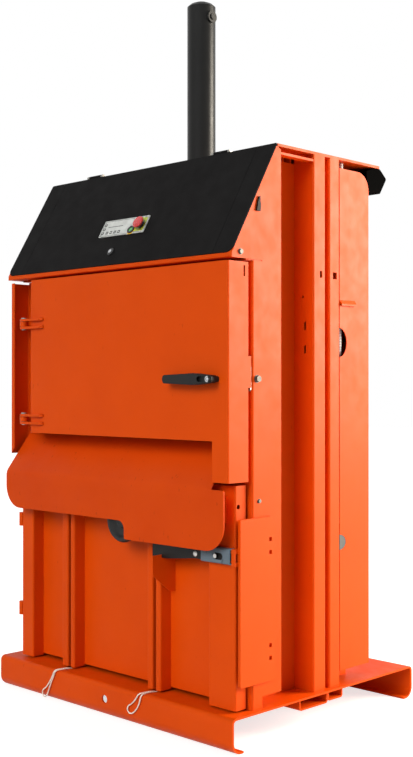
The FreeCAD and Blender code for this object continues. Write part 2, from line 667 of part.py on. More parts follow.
def lid_hinge_pins():
    """The lid's two hinge pins, each in a pair of eyes on the top plate's front edge."""
    hinges = []
    outer = 10.0
    for x in LID_HINGES:
        half = LID_EYE_LENGTH / 2 + SIDE_PLAY / 2
        start = Vector(x - half - outer, LID_HINGE_Y, LID_HINGE_Z)
        solids = [rod(LID_PIN, start, X_AXIS, 2 * (half + outer))]
        for x0 in (start.x, x + half):
            solids.append(rod(LID_EYE, Vector(x0, LID_HINGE_Y, LID_HINGE_Z), X_AXIS, outer))
            solids.append(block(x0, x0 + outer, TOP_FRONT + 0.5, LID_HINGE_Y + LID_EYE, TOP_HEIGHT,
                                LID_HINGE_Z))
        hinges.append(joined(*solids))
    return group(*hinges)


def rear_hood():
    """The black cap behind the head, folded from one sheet with closed ends."""
    y, z = TOP_BACK, COLUMN_TOP
    outer = [(COVER_BACK, z - 14), (y - 25, z, 8), (y + 4, z, 8), (y + 39, z - 28, 7),
             (y + 3, z - 81, 7), (y - 25, z - 78, 6), (COVER_BACK, z - 95)]
    inner = [(COVER_BACK - 1, z - 18), (y - 24, z - 3, 6), (y + 2, z - 3, 6),
             (y + 35, z - 28.5, 5), (y + 2, z - 78, 5), (y - 25, z - 75, 5), (COVER_BACK - 1, z - 92)]
    half = HALF_BODY - 6
    return prism("YZ", outer, -half, half).cut(prism("YZ", inner, 3 - half, half - 3))


# ---- feed door -------------------------------------------------------------------------------
def door_plan(inset, front, back):
    """Plan outline of the feed door's box, drawn in from its outside by an inset."""
    lean = (DOOR_BACK_LEFT - DOOR_LEFT) / DOOR_DEPTH
    across = math.hypot(1, lean) * inset
    bend = DOOR_BEND - inset
    return [(DOOR_LEFT + lean * front + across, front, bend), (HALF_BODY - inset, front, bend),
            (HALF_BODY - inset, back), (DOOR_LEFT + lean * back + across, back)]


def stile_plan(inset, front, back):
    """Plan outline of the margin that runs on below the feed door's main face."""
    return [(STILE_LEFT + inset, front), (HALF_BODY - inset, front, DOOR_BEND - inset),
            (HALF_BODY - inset, back), (STILE_LEFT + inset, back)]


def door_shell():
    """The feed door: a folded box open at the back, with a margin that runs down beside the chute."""
    t = DOOR_SHEET
    box = prism("XY", door_plan(0, 0, DOOR_DEPTH), DOOR_FOOT, DOOR_TOP)
    stile = prism("XY", stile_plan(0, 0, DOOR_DEPTH), STILE_FOOT, DOOR_FOOT + 1)
    cavity = prism("XY", door_plan(t, t, DOOR_DEPTH - t), DOOR_FOOT + t, DOOR_TOP - t)
    stile_cavity = prism("XY", stile_plan(t, t, DOOR_DEPTH - t), STILE_FOOT + t, DOOR_FOOT + t + 1)
    body = joined(box, stile).cut(cavity).cut(stile_cavity)
    right = HALF_BODY - DOOR_RETURN
    back = (DOOR_DEPTH - t - 1, DOOR_DEPTH + 1)
    body = body.cut(block(DOOR_BACK_LEFT + DOOR_RETURN + 12, right, *back, DOOR_FOOT + DOOR_RETURN,
                          DOOR_TOP - DOOR_RETURN))
    body = body.cut(block(STILE_LEFT + DOOR_RETURN, right, *back, STILE_FOOT + DOOR_RETURN,
                          DOOR_FOOT + DOOR_RETURN + 1))
    tab = block(HALF_BODY - t, HALF_BODY, DOOR_DEPTH - 5, DOOR_DEPTH + TAB_REACH, *TAB_HEIGHTS)
    body = joined(body, tab)
    body = body.cut(block(HALF_BODY - t - 1, HALF_BODY + 1, 65, 72, 1349, 1380))
    for middle in lug_heights():
        half = LUG_THICK / 2 + 1
        body = body.cut(block(LUG_START - LUG_TAIL - 1, LUG_START + 1, -1, t + 1,
                              middle - half, middle + half))
    return body.cut(rod(HANDLE_SPINDLE + 1, Vector(HANDLE_X, -1, HANDLE_Z), Y_AXIS, t + 2))


def door_liner():
    """The flat inner sheet of the feed door, lying on the box's returns."""
    y0 = DOOR_DEPTH
    sheet = block(DOOR_BACK_LEFT + 4, HALF_BODY - 32, y0, y0 + LINER_SHEET, DOOR_FOOT + 12, DOOR_TOP - 4)
    half = LATCH_REACH + 10
    return sheet.cut(block(HANDLE_X - half, HALF_BODY, y0 - 1, y0 + LINER_SHEET + 1,
                           HANDLE_Z - half, HANDLE_Z + half))


def lug_heights():
    """Middle heights of the four lugs, two on each hinge."""
    return [z + side * LUG_SPACING / 2 for z in DOOR_HINGE_HEIGHTS for side in (1, -1)]


def door_hinge_lugs():
    """The feed door's four lugs, each with its tail in a slot of the door's face."""
    lugs = []
    x, y = DOOR_HINGE_X, DOOR_HINGE_Y
    tail = LUG_START - LUG_TAIL
    for middle in lug_heights():
        z0, z1 = middle - LUG_THICK / 2, middle + LUG_THICK / 2
        arm = prism("XY", [(LUG_START, 9), (tail, 9), (tail, 0), (DOOR_LEFT - 1, 0), (DOOR_LEFT - 7, 6),
                           (x, y + 10), (x, y - HINGE_KNUCKLE), (LUG_START - 10, -LUG_PROUD, 4),
                           (LUG_START, -LUG_PROUD / 3, 2)], z0, z1)
        eye = rod(HINGE_KNUCKLE, Vector(x, y, z0), Z_AXIS, LUG_THICK)
        bore = rod(HINGE_PIN + RUNNING, Vector(x, y, z0 - 1), Z_AXIS, LUG_THICK + 2)
        lugs.append(joined(arm, eye).cut(bore))
    return group(*lugs)


def door_hinge_brackets():
    """The frame's two three-cornered brackets, welded to the hinge wall."""
    half = (LUG_SPACING - LUG_THICK) / 2 - SIDE_PLAY
    wall = PANEL_SHEET - HALF_BODY
    x, y, reach = DOOR_HINGE_X, DOOR_HINGE_Y, HINGE_KNUCKLE * 0.7
    brackets = []
    for z in DOOR_HINGE_HEIGHTS:
        arm = prism("XY", [(wall, 62), (x - reach, y - reach), (x + reach, y + reach), (wall, 97)],
                    z - half, z + half)
        eye = rod(HINGE_KNUCKLE, Vector(x, y, z - half), Z_AXIS, 2 * half)
        bore = rod(HINGE_PIN, Vector(x, y, z - half - 1), Z_AXIS, 2 * half + 2)
        brackets.append(joined(arm, eye).cut(bore))
    return group(*brackets)


def door_hinge_pins():
    """The feed door's two pins, fast in the brackets, each with a head above its upper lug."""
    half = (LUG_SPACING + LUG_THICK) / 2
    shank = 2 * half + 3.5
    pins = []
    for z in DOOR_HINGE_HEIGHTS:
        foot = Vector(DOOR_HINGE_X, DOOR_HINGE_Y, z - half - 3)
        head = rod(HINGE_PIN + 2, foot + Z_AXIS * shank, Z_AXIS, 4)
        pins.append(joined(rod(HINGE_PIN, foot, Z_AXIS, shank), head))
    return group(*pins)


def handle_base():
    """The moulded base that the handle turns on, on the door's face."""
    x, z = HANDLE_X, HANDLE_Z
    plate = prism("XZ", [(x - 46, z - 9, 8), (x + 11, z - 9, 8), (x + 11, z + 9, 8), (x - 46, z + 9, 8)],
                  -HANDLE_BASE, 0)
    return plate.cut(rod(HANDLE_SPINDLE + RUNNING, Vector(x, -HANDLE_BASE - 1, z), Y_AXIS,
                         HANDLE_BASE + 2))


def handle_outline(inset):
    """Front outline of the grip: a rounded end that widens, then narrows to the pivot."""
    x0, x1 = HANDLE_X - HANDLE_LENGTH + inset, HANDLE_X + HANDLE_TAIL - inset
    waist = HANDLE_X - 58
    return [(x0, HANDLE_Z - 12 + inset, 9), (waist, HANDLE_Z - 17 + inset, 40),
            (x1, HANDLE_Z - 10.5 + inset, 7), (x1, HANDLE_Z + 10.5 - inset, 7),
            (waist, HANDLE_Z + 17 - inset, 40), (x0, HANDLE_Z + 12 - inset, 9)]


def handle_lever():
    """The grip with its dished recess and barrel hole, and its spindle through the door."""
    x, z = HANDLE_X, HANDLE_Z
    front, back = -HANDLE_PROUD, -HANDLE_BASE - 0.5
    grip = joined(prism("XZ", handle_outline(0), front + 3, back),
                  prism("XZ", handle_outline(2.5), front, front + 3))
    recess = prism("XZ", [(x - 42, z - 8, 7.9), (x - 9, z - 8, 7.9), (x - 9, z + 8, 7.9),
                          (x - 42, z + 8, 7.9)], front - 1, front + 8)
    finger = prism("XY", [(x - 160, back + 1), (x - 160, back - 9, 6), (x - 62, back - 9, 6),
                          (x - 62, back + 1)], z - 20, z + 20)
    barrel = rod(BARREL_RADIUS + RUNNING, Vector(x, front - 1, z), Y_AXIS, BARREL_DEPTH + 1)
    spindle = rod(HANDLE_SPINDLE, Vector(x, back - 2, z), Y_AXIS, LATCH_Y - back + 2)
    return joined(grip.cut(recess).cut(finger).cut(barrel), spindle)


def handle_barrel():
    """The key barrel in the handle, with its keyway."""
    start = Vector(HANDLE_X, BARREL_SINK - HANDLE_PROUD, HANDLE_Z)
    barrel = rod(BARREL_RADIUS, start, Y_AXIS, BARREL_DEPTH - BARREL_SINK - 0.2)
    return barrel.cut(block(HANDLE_X - 3.2, HANDLE_X + 3.2, start.y - 1, start.y + 6,
                            HANDLE_Z - 0.7, HANDLE_Z + 0.7))


def latch_cam():
    """The latch cam on the end of the handle's spindle, behind the door's box."""
    x, z = HANDLE_X, HANDLE_Z
    return prism("XZ", [(x - 13, z - 13, 11), (x + LATCH_REACH, z - 9, 5), (x + LATCH_REACH, z + 9, 5),
                        (x - 13, z + 13, 11)], LATCH_Y, LATCH_Y + LATCH_THICK)


def latch_striker():
    """The striker plate on the right-hand post, behind the latch cam."""
    low, high = HANDLE_Z - 35, HANDLE_Z + 40
    return prism("XZ", [(500, low, 5), (528, low, 5), (528, high, 5), (500, high, 5)],
                 FRAME_FRONT - STRIKER_THICK, FRAME_FRONT)


# ---- chamber door ----------------------------------------------------------------------------
def lower_panel():
    """The chamber door's sheet, slotted from its foot for the straps."""
    foot = BASE_HEIGHT + PANEL_GAP
    head = CHUTE_FOOT + (PANEL_FRONT - APRON_FRONT) * CHUTE_PITCH - CHUTE_DROP
    back = PANEL_FRONT + PANEL_THICK
    sheet = block(LOWER_LEFT + 2, LOWER_RIGHT - 4, PANEL_FRONT, back, foot, head)
    sheet = sheet.cut(block(CHUTE_RIGHT, LOWER_RIGHT, PANEL_FRONT - 1, back + 1, LOWER_TOP, head + 1))
    for centre in SLOT_CENTRES:
        half = SLOT_WIDTH / 2
        sheet = sheet.cut(block(centre - half, centre + half, PANEL_FRONT - 1, back + 1, foot - 1,
                                SLOT_TOP))
    return sheet


def door_channel(left, right):
    """An upright channel on the front of the door sheet, open towards the sheet."""
    path = [(left, PANEL_FRONT), (left, RIB_FRONT), (right, RIB_FRONT), (right, PANEL_FRONT)]
    return fold("XY", path, RIB_SHEET, 6.0, BASE_HEIGHT + LOWER_GAP, LOWER_TOP)


def lower_stiles():
    """The chamber door's left and right stiles; the right one has a hole in its outer side."""
    right = door_channel(LOWER_RIGHT - RIGHT_STILE, LOWER_RIGHT)
    right = right.cut(rod(7, Vector(LOWER_RIGHT - RIB_SHEET - 1, RIB_FRONT + 14, 690), X_AXIS,
                          RIB_SHEET + 2))
    return group(door_channel(LOWER_LEFT, LOWER_LEFT + LEFT_STILE), right)


def strap_ribs():
    """The two ribs, each in two halves with a strap slot between them."""
    halves = []
    for centre, left, right in zip(SLOT_CENTRES, RIBS_LEFT_OF_SLOT, RIBS_RIGHT_OF_SLOT):
        edge = SLOT_WIDTH / 2
        halves.append(door_channel(centre - edge - left, centre - edge))
        halves.append(door_channel(centre + edge, centre + edge + right))
    return group(*halves)


def chute_apron():
    """The chute and the apron in front of the ribs, bent from one sheet, with a relief at the left."""
    path = [(CHUTE_BACK, CHUTE_TOP), (APRON_FRONT, CHUTE_FOOT), (APRON_FRONT, APRON_FOOT)]
    sheet = fold("YZ", path, APRON_SHEET, APRON_BEND, APRON_LEFT, APRON_RIGHT)
    step = CHUTE_FOOT - 2
    keep = prism("XZ", [
        (APRON_LEFT, CHUTE_TOP + 5), (APRON_LEFT, RELIEF_FOOT, APRON_CORNER),
        (RELIEF_RIGHT, RELIEF_FOOT, 27), (RELIEF_RIGHT, APRON_FOOT, 6),
        (APRON_RIGHT, APRON_FOOT, APRON_CORNER), (APRON_RIGHT, step, 8), (CHUTE_RIGHT, step, 3),
        (CHUTE_RIGHT, CHUTE_TOP + 5)], APRON_FRONT - 1, CHUTE_BACK + APRON_SHEET)
    return sheet.common(keep)


def apron_brackets():
    """Plates between the apron and the stiles and ribs behind it."""
    edge = SLOT_WIDTH / 2
    places = (LOWER_LEFT + LEFT_STILE / 2, SLOT_CENTRES[0] - edge - RIBS_LEFT_OF_SLOT[0] / 2,
              SLOT_CENTRES[1] + edge + RIBS_RIGHT_OF_SLOT[1] / 2, LOWER_RIGHT - RIGHT_STILE / 3)
    half = BRACKET_THICK / 2
    return group(*[block(x - half, x + half, APRON_BACK, RIB_FRONT, *BRACKET_HEIGHTS) for x in places])


def bar_gusset():
    """The bracket on the door sheet that carries the lock bar in a notch."""
    low, high = BAR_FOOT - 0.3, BAR_FOOT + 9
    front, back = BAR_FRONT - GUSSET_SLACK, BAR_BACK + GUSSET_SLACK
    return prism("YZ", [(PANEL_FRONT, 411), (71, 411, 6), (0, 466, 12), (-3, 476), (-3, high, 3),
                        (front, high), (front, low), (back, low), (back, high), (PANEL_FRONT, high)],
                 GUSSET_X - GUSSET_THICK / 2, GUSSET_X + GUSSET_THICK / 2)


def lock_guide():
    """The channel over the lock bar on the right-hand stile, with the stud's slot."""
    z0, z1 = GUIDE_FOOT, GUIDE_FOOT + GUIDE_HEIGHT
    path = [(RIB_FRONT, z1), (GUIDE_FRONT, z1), (GUIDE_FRONT, z0), (RIB_FRONT, z0)]
    body = fold("YZ", path, GUIDE_SHEET, 5.0, GUIDE_LEFT, LOWER_RIGHT)
    bevel = prism("XY", [(LOWER_RIGHT - 10, GUIDE_FRONT - 1), (LOWER_RIGHT + 1, GUIDE_FRONT - 1),
                         (LOWER_RIGHT + 1, GUIDE_FRONT + 7)], z0 - 1, z1 + 1)
    left, right, half = GUIDE_SLOT
    low, high, round_end = NOSE_Z - half, NOSE_Z + half, half - 0.1
    slot = prism("XZ", [(left, low, round_end), (right, low, round_end), (right, high, round_end),
                        (left, high, round_end)], GUIDE_FRONT - 1, GUIDE_FRONT + GUIDE_SHEET + 1)
    return body.cut(bevel).cut(slot)


def rack_corners():
    """Corners of the rack teeth along the top of the lock bar, from right to left."""
    pitch = math.pi * TOOTH_MODULE
    tip = RACK_LINE + 0.9 * TOOTH_MODULE
    lean_tip = (tip - RACK_LINE) * math.tan(PRESSURE_ANGLE)
    lean_root = (RACK_LINE - RACK_ROOT) * math.tan(PRESSURE_ANGLE)
    half = pitch / 4 - BACKLASH / 4
    corners = []
    for k in range(3, -6, -1):
        x = WHEEL_X + k * pitch
        corners += [(x + half + lean_root, RACK_ROOT), (x + half - lean_tip, tip),
                    (x - half + lean_tip, tip), (x - half - lean_root, RACK_ROOT)]
    return corners


def lock_bar():
    """The sliding lock bar with rack teeth at the left and a nose, its rivet and its stud."""
    nose_low, nose_high = NOSE_Z - NOSE_HEIGHT / 2, NOSE_Z + NOSE_HEIGHT / 2
    corners = [(BAR_BODY, BAR_FOOT, 2), (BAR_BODY + 65, BAR_FOOT),
               (BAR_SHOULDER - BAR_TRAVEL - 5, GUIDE_FOOT + GUIDE_SHEET + 1, 8),
               (BAR_SHOULDER, GUIDE_FOOT + GUIDE_SHEET + 1, 2), (BAR_SHOULDER, nose_low, 1),
               (BAR_TIP, nose_low, 4), (BAR_TIP, nose_high, 4), (BAR_SHOULDER, nose_high, 1),
               (BAR_SHOULDER, BAR_TOP, 2), (300, BAR_TOP, 4), (288, RACK_ROOT, 4)]
    corners += rack_corners()
    corners += [(BAR_TAIL, RACK_ROOT), (BAR_TAIL, BAR_TOP + 2), (BAR_BODY, BAR_TOP + 2, 3)]
    bar = prism("XZ", corners, BAR_FRONT, BAR_BACK)
    r = RIVET_RADIUS
    rivet = turned([(0, 0, 0), (r, 0, 0), (r, 1.5, 0), (r * 0.6, 4, 1.5), (0, 4, 0)], FORWARD,
                   Vector(RIVET_X, BAR_FRONT, NOSE_Z - 3))
    stud = rod(STUD_RADIUS, Vector(STUD_X, GUIDE_FRONT - 2, NOSE_Z), Y_AXIS, BAR_FRONT - GUIDE_FRONT + 2)
    return group(bar, rivet, stud)


def tooth_half_angle(radius):
    """Half the angle that a pinion tooth fills at a radius, from the involute of its base circle."""
    base = PITCH_RADIUS * math.cos(PRESSURE_ANGLE)
    angle = math.acos(base / max(radius, base))
    at_pitch = (math.pi * TOOTH_MODULE / 4 - BACKLASH / 4) / PITCH_RADIUS
    roll = math.tan(PRESSURE_ANGLE) - PRESSURE_ANGLE
    return at_pitch + roll - (math.tan(angle) - angle)


def pinion():
    """The pinion behind the hand wheel, with its spindle in the door's bush."""
    tip, root = PITCH_RADIUS + TOOTH_MODULE, PITCH_RADIUS - 1.25 * TOOTH_MODULE
    rise = (root, PITCH_RADIUS - TOOTH_MODULE / 2, PITCH_RADIUS + TOOTH_MODULE / 3, tip)
    corners = []
    for k in range(TOOTH_COUNT):
        centre = 2 * math.pi * (k + 0.5) / TOOTH_COUNT - math.pi / 2
        flank = [(radius, -1) for radius in rise] + [(radius, 1) for radius in rise[::-1]]
        for radius, side in flank:
            angle = centre + side * tooth_half_angle(radius)
            corners.append((WHEEL_X + radius * math.cos(angle), WHEEL_Z + radius * math.sin(angle)))
    gear = prism("XZ", corners, BAR_FRONT, BAR_BACK)
    spindle = rod(SPINDLE_RADIUS, Vector(WHEEL_X, WHEEL_BACK, WHEEL_Z), Y_AXIS,
                  PANEL_FRONT - 0.5 - WHEEL_BACK)
    return joined(gear, spindle)


def hand_wheel():
    """The moulded hand wheel: a dished disc with a rounded rim."""
    r, depth = WHEEL_RADIUS, WHEEL_BACK - WHEEL_FRONT
    profile = [(0, 0, 0), (r * 0.9, 0, 4), (r, 7, 5), (r, depth - 8, 6), (r * 0.92, depth, 5),
               (r * 0.78, depth, 4), (r * 0.66, depth - 9, 5), (r * 0.36, depth - 9, 3),
               (r * 0.3, depth - 3, 3), (0, depth - 3, 0)]
    return turned(profile, FORWARD, Vector(WHEEL_X, WHEEL_BACK, WHEEL_Z))


def spindle_bush():
    """The flanged bush on the door sheet in which the wheel's spindle turns."""
    front = BAR_BACK + 2
    bush = joined(rod(BUSH_RADIUS, Vector(WHEEL_X, front, WHEEL_Z), Y_AXIS, PANEL_FRONT - front),
                  rod(BUSH_FLANGE, Vector(WHEEL_X, PANEL_FRONT - 6, WHEEL_Z), Y_AXIS, 6))
    return bush.cut(rod(SPINDLE_RADIUS + RUNNING, Vector(WHEEL_X, front - 1, WHEEL_Z), Y_AXIS,
                        PANEL_FRONT - front + 2))


def keeper_plate():
    """The thick plate beside the chamber door's edge, with the pocket for the lock bar's nose."""
    plate = prism("YZ", [(KEEPER_FRONT, KEEPER_FOOT, 6), (KEEPER_BACK, KEEPER_FOOT, 6),
                         (KEEPER_BACK, KEEPER_TOP, 20), (KEEPER_FRONT, KEEPER_TOP, 3)],
                  HALF_BODY, HALF_BODY + KEEPER_THICK)
    nose_half = NOSE_HEIGHT / 2 + 2
    pocket = block(LOWER_RIGHT + POCKET_GAP, HALF_BODY, GUIDE_FRONT, 62, NOSE_Z - 25, NOSE_Z + 25)
    slot = block(LOWER_RIGHT, HALF_BODY, BAR_FRONT - POCKET_PLAY, BAR_BACK + POCKET_PLAY,
                 NOSE_Z - nose_half, NOSE_Z + nose_half)
    plate = joined(plate, pocket.cut(slot))
    half = KEEPER_HOLE_SIZE / 2
    for z in KEEPER_HOLES:
        plate = plate.cut(block(HALF_BODY - 1, HALF_BODY + KEEPER_THICK + 1, KEEPER_HOLE_Y - half,
                                KEEPER_HOLE_Y + half, z - half, z + half))
    return plate


def lower_hinge_leaves():
    """The chamber door's two upper hinge halves, on the left side of its left stile."""
    x, y = LOWER_HINGE_X, LOWER_HINGE_Y
    halves = []
    for z in LOWER_HINGE_HEIGHTS:
        foot = Vector(x, y, z + 0.5)
        leaf = block(x, LOWER_LEFT, y - 6, y + 6, foot.z, z + KNUCKLE_HEIGHT)
        eye = rod(LOWER_KNUCKLE, foot, Z_AXIS, KNUCKLE_HEIGHT - 0.5)
        bore = rod(LOWER_PIN + RUNNING, foot - Z_AXIS, Z_AXIS, KNUCKLE_HEIGHT - 4)
        halves.append(joined(eye, leaf).cut(bore))
    return group(*halves)


def lower_hinge_frame():
    """The frame's two lower hinge halves, each with its pin, on arms from the left-hand post."""
    x, y = LOWER_HINGE_X, LOWER_HINGE_Y
    halves = []
    for z in LOWER_HINGE_HEIGHTS:
        foot = Vector(x, y, z - KNUCKLE_HEIGHT)
        arm = block(x - LOWER_KNUCKLE, x - 1, y, FRAME_FRONT, foot.z, z)
        eye = rod(LOWER_KNUCKLE, foot, Z_AXIS, KNUCKLE_HEIGHT)
        pin = rod(LOWER_PIN, foot, Z_AXIS, 2 * KNUCKLE_HEIGHT - 6)
        halves.append(joined(eye, arm, pin))
    return group(*halves)


# ---- ram -------------------------------------------------------------------------------------
def cylinder_tube():
    """The tube of the hydraulic cylinder, standing through the top plate, with its upper port."""
    start = Vector(0, CYLINDER_Y, CYLINDER_FOOT)
    reach = CYLINDER_RADIUS + PORT_REACH
    tube = rod(CYLINDER_RADIUS, start, Z_AXIS, TUBE_TOP - CYLINDER_FOOT)
    boss = rod(PORT_RADIUS, Vector(0, CYLINDER_Y, PORT_Z), X_AXIS, reach)
    plug = hex_head(Vector(reach, CYLINDER_Y, PORT_Z), X_AXIS, 19, 4)
    bore = rod(CYLINDER_BORE, start - Z_AXIS, Z_AXIS, TUBE_TOP - CYLINDER_FOOT + 2)
    return joined(tube, boss, plug).cut(bore)


def cylinder_cap():
    """The chamfered end cap with its round plug."""
    r, h = CYLINDER_RADIUS, CAP_HEIGHT
    return turned([(0, 0, 0), (r, 0, 0), (r, h - 15, 0), (r - 10, h - 6, 0), (CAP_PLUG, h - 6, 0),
                   (CAP_PLUG - 3, h, 0), (0, h, 0)], Z_AXIS, Vector(0, CYLINDER_Y, TUBE_TOP))


def cylinder_gland():
    """The gland that closes the tube's foot round the rod."""
    bore = ROD_RADIUS + RUNNING
    profile = [(bore, -GLAND_COLLAR, 0), (CYLINDER_RADIUS, -GLAND_COLLAR, 0), (CYLINDER_RADIUS, 0, 0),
               (CYLINDER_BORE, 0, 0), (CYLINDER_BORE, GLAND_HEIGHT, 0), (bore, GLAND_HEIGHT, 0)]
    return turned(profile, Z_AXIS, Vector(0, CYLINDER_Y, CYLINDER_FOOT))


def cylinder_flange():
    """The round flange on the top plate, with the collar that holds the tube."""
    r, collar = CYLINDER_RADIUS, CYLINDER_RADIUS + FLANGE_COLLAR
    top = FLANGE_THICK + COLLAR_HEIGHT
    return turned([(r, 0, 0), (FLANGE_RADIUS, 0, 0), (FLANGE_RADIUS, FLANGE_THICK, 3),
                   (collar, FLANGE_THICK, 4), (collar - 2, top, 2), (r, top, 0)],
                  Z_AXIS, Vector(0, CYLINDER_Y, TOP_HEIGHT))


def piston_rod():
    """The rod with its piston, up inside the tube while the ram is parked."""
    top = TUBE_TOP - 4
    return joined(rod(ROD_RADIUS, Vector(0, CYLINDER_Y, PLATEN_TOP), Z_AXIS, top - PLATEN_TOP),
                  rod(CYLINDER_BORE - RUNNING, Vector(0, CYLINDER_Y, top - PISTON_HEIGHT), Z_AXIS,
                      PISTON_HEIGHT))


def press_plate():
    """The platen: a steel face plate with edge walls, cross webs and a boss for the rod."""
    half = INSIDE - PLATEN_GAP
    front, back = FRAME_FRONT + PLATEN_GAP, CHAMBER_BACK - CHAMBER_WALL - PLATEN_GAP
    t = PLATEN_SHEET
    boss_x, boss_y, boss_height = PLATEN_BOSS
    top = PLATEN_TOP - boss_height
    plate = block(-half, half, front, back, PLATEN_Z, PLATEN_Z + t)
    walls = [block(-half, half, y, y + t, PLATEN_Z, top)
             for y in (front, CYLINDER_Y - boss_y, CYLINDER_Y + boss_y - t, back - t)]
    walls += [block(x, x + t, front, back, PLATEN_Z, top)
              for x in (-half, -boss_x, boss_x - t, half - t)]
    boss = block(-boss_x, boss_x, CYLINDER_Y - boss_y, CYLINDER_Y + boss_y, top, PLATEN_TOP)
    return joined(plate, *walls, boss)


# ---- power and control -----------------------------------------------------------------------
def power_pack():
    """The oil tank with its drain plug, and the ribbed pump motor beside it, hung from the top plate."""
    front, back = HEADER_WEB + 6, CYLINDER_Y - BEAM_OFFSET - BEAM_WIDTH - 5
    foot, left = COLUMN_TOP - TANK_HEIGHT, TANK_GAP - INSIDE
    axis_y, axis_z = (front + back) / 2, COLUMN_TOP - 70
    tank = prism("XY", [(left, front, 14), (-110, front, 14), (-110, back, 14), (left, back, 14)],
                 foot, COLUMN_TOP)
    drain = hex_head(Vector(-255, axis_y, foot), DOWN, 24, 9)
    pump = rod(28, Vector(-112, axis_y, axis_z), X_AXIS, 92)
    bell = rod(40, Vector(-20, axis_y, axis_z), X_AXIS, 80)
    motor = rod(50, Vector(60, axis_y, axis_z), X_AXIS, 190)
    ribs = [rod((back - front) / 2, Vector(x, axis_y, axis_z), X_AXIS, 4) for x in range(72, 240, 24)]
    box = block(110, 190, axis_y - 30, axis_y + 30, axis_z + 20, COLUMN_TOP)
    return joined(tank, drain, pump, bell, motor, box, *ribs)


def electric_box():
    """The electric cabinet with its door, on the header's shelf under the lid."""
    bend = 2.5
    back, foot = HEADER_WEB - PANEL_SHEET - bend, SHELF + PANEL_SHEET
    left = 20 - INSIDE
    box = block(left, -130, back - 58, back, foot, foot + 68)
    return joined(box, block(left + 6, -136, back - 60, back - 58, foot + 5, foot + 63))


def control_plate():
    """The light control plate on the lid."""
    plate = hood_slab(*CONTROL_SPAN, HOOD_SHEET, LID_FACE, (3, 3, 3, 3))
    for x, s, radius in lid_holes()[:2]:
        plate = plate.cut(rod(radius, on_hood(x, s, 0), OUTWARD, LID_FACE + 1))
    return plate


def fitting_ring(x, s, face, neck, bore, depth, half_width, floor):
    """A ring on the lid, its neck through it and a square block behind, bored down to a floor."""
    ring = rod(neck + RING_LIP, on_hood(x, s, face), OUTWARD, RING_HEIGHT)
    shank = rod(neck, on_hood(x, s, -6), OUTWARD, face + 6)
    behind = hood_slab(x - half_width, x + half_width, s - half_width, s + half_width, -depth, -3)
    hole = rod(bore + RUNNING, on_hood(x, s, floor - depth), OUTWARD, 60)
    return joined(ring, shank, behind).cut(hole)


def lid_fittings():
    """The fixed rings and blocks of the emergency stop, the start button and the lid lock."""
    start = fitting_ring(START_X, START_S, LID_FACE, START_NECK, START_STEM, CONTACT_DEPTH, 12, 2)
    start = start.cut(rod(START_RADIUS + 0.4, on_hood(START_X, START_S, 1.5), OUTWARD, 20))
    return group(
        fitting_ring(ESTOP_X, ESTOP_S, LID_FACE, ESTOP_NECK, ESTOP_STEM, CONTACT_DEPTH, 13, 2), start,
        fitting_ring(LID_LOCK_X, LID_LOCK_S, HOOD_SHEET, LID_LOCK_NECK, LID_LOCK_RADIUS,
                     LID_LOCK_DEPTH, 10, -1))


def push_button(x, s, height, profile, stem, depth):
    """A button with its stem; height is how far its underside stands out from the hood."""
    cap = turned(profile, Z_AXIS, Vector(0, 0, 0))
    button = joined(cap, rod(stem, Vector(0, 0, -depth), Z_AXIS, depth + 1))
    button.Placement = FreeCAD.Placement(on_hood(x, s, height), FreeCAD.Rotation(Z_AXIS, OUTWARD))
    return button


def estop_head():
    """The mushroom head of the emergency stop, held off its ring by its travel."""
    r = ESTOP_RADIUS
    return push_button(ESTOP_X, ESTOP_S, LID_FACE + RING_HEIGHT + ESTOP_TRAVEL + 0.3,
                       [(0, 0, 0), (11, 0, 0), (12, 3, 1), (r - 3, 4, 2), (r, 9, 4), (r - 7, 13, 6),
                        (0, 14, 0)], ESTOP_STEM, 24)


def start_button():
    """The start button, a little below the rim of its ring."""
    r = START_RADIUS
    return push_button(START_X, START_S, LID_FACE + RING_HEIGHT - START_CAP - 1,
                       [(0, 0, 0), (r, 0, 0), (r, START_CAP, 1.2), (0, START_CAP, 0)], START_STEM, 16)


def lid_lock_barrel():
    """The turning barrel of the lid's lock, with its keyway, and its cam behind the lid."""
    x, s = LID_LOCK_X, LID_LOCK_S
    back, front = LOCK_CAM
    top = HOOD_SHEET + RING_HEIGHT + 2
    barrel = rod(LID_LOCK_RADIUS, on_hood(x, s, -back), OUTWARD, back + top)
    cam = hood_slab(x - 7, x + 7, s - 18, s + 7, -back, -front)
    keyway = hood_slab(x - 0.7, x + 0.7, s - 3.5, s + 3.5, top - 5, top + 1)
    return joined(barrel, cam).cut(keyway)


# ---- twine and service lines -----------------------------------------------------------------
TWINE_RADIUS = 2.0
LEFT_TWINE = [(-238, 66, 98), (-238, 44, 104.8), (-240, 20, 105.4), (-246, -5, 104.6), (-256, -5.5, 82),
              (-272, -4.5, 60), (-290, -5, 40), (-310, -5, 28), (-306, -6, 8), (-287, -6, 10),
              (-274, -5, 36), (-262, -6, 62), (-249, -5, 84), (-240, -6, 104.6), (-233, 20, 105.4),
              (-232, 44, 104.8), (-232, 66, 98)]
RIGHT_TWINE = [(173, 66, 98), (173, 44, 104.8), (171, 20, 105.4), (165, -5, 104.6), (154, -5.5, 88),
               (141, -4.5, 74.5), (127.5, -5, 64.5), (117, -5.5, 59), (114, -6, 44), (130, -6, 36),
               (146, -5, 46), (160, -6, 60), (170, -5, 80), (176.5, -5.5, 104.3), (179, 20, 105.4),
               (179, 44, 104.8), (179, 66, 98)]
CONDUIT_RADIUS = 9.0
CONDUIT = [(495, 558, COLUMN_TOP), (495, 558, 1640), (493, 546, 1480), (503, 534, 1320),
           (514, 527, 1175), (504, 533, 1040), (496, 545, 890), (500, 548, 740),
           (500, 548, LINES_FOOT)]
CABLE_RADIUS = 3.5
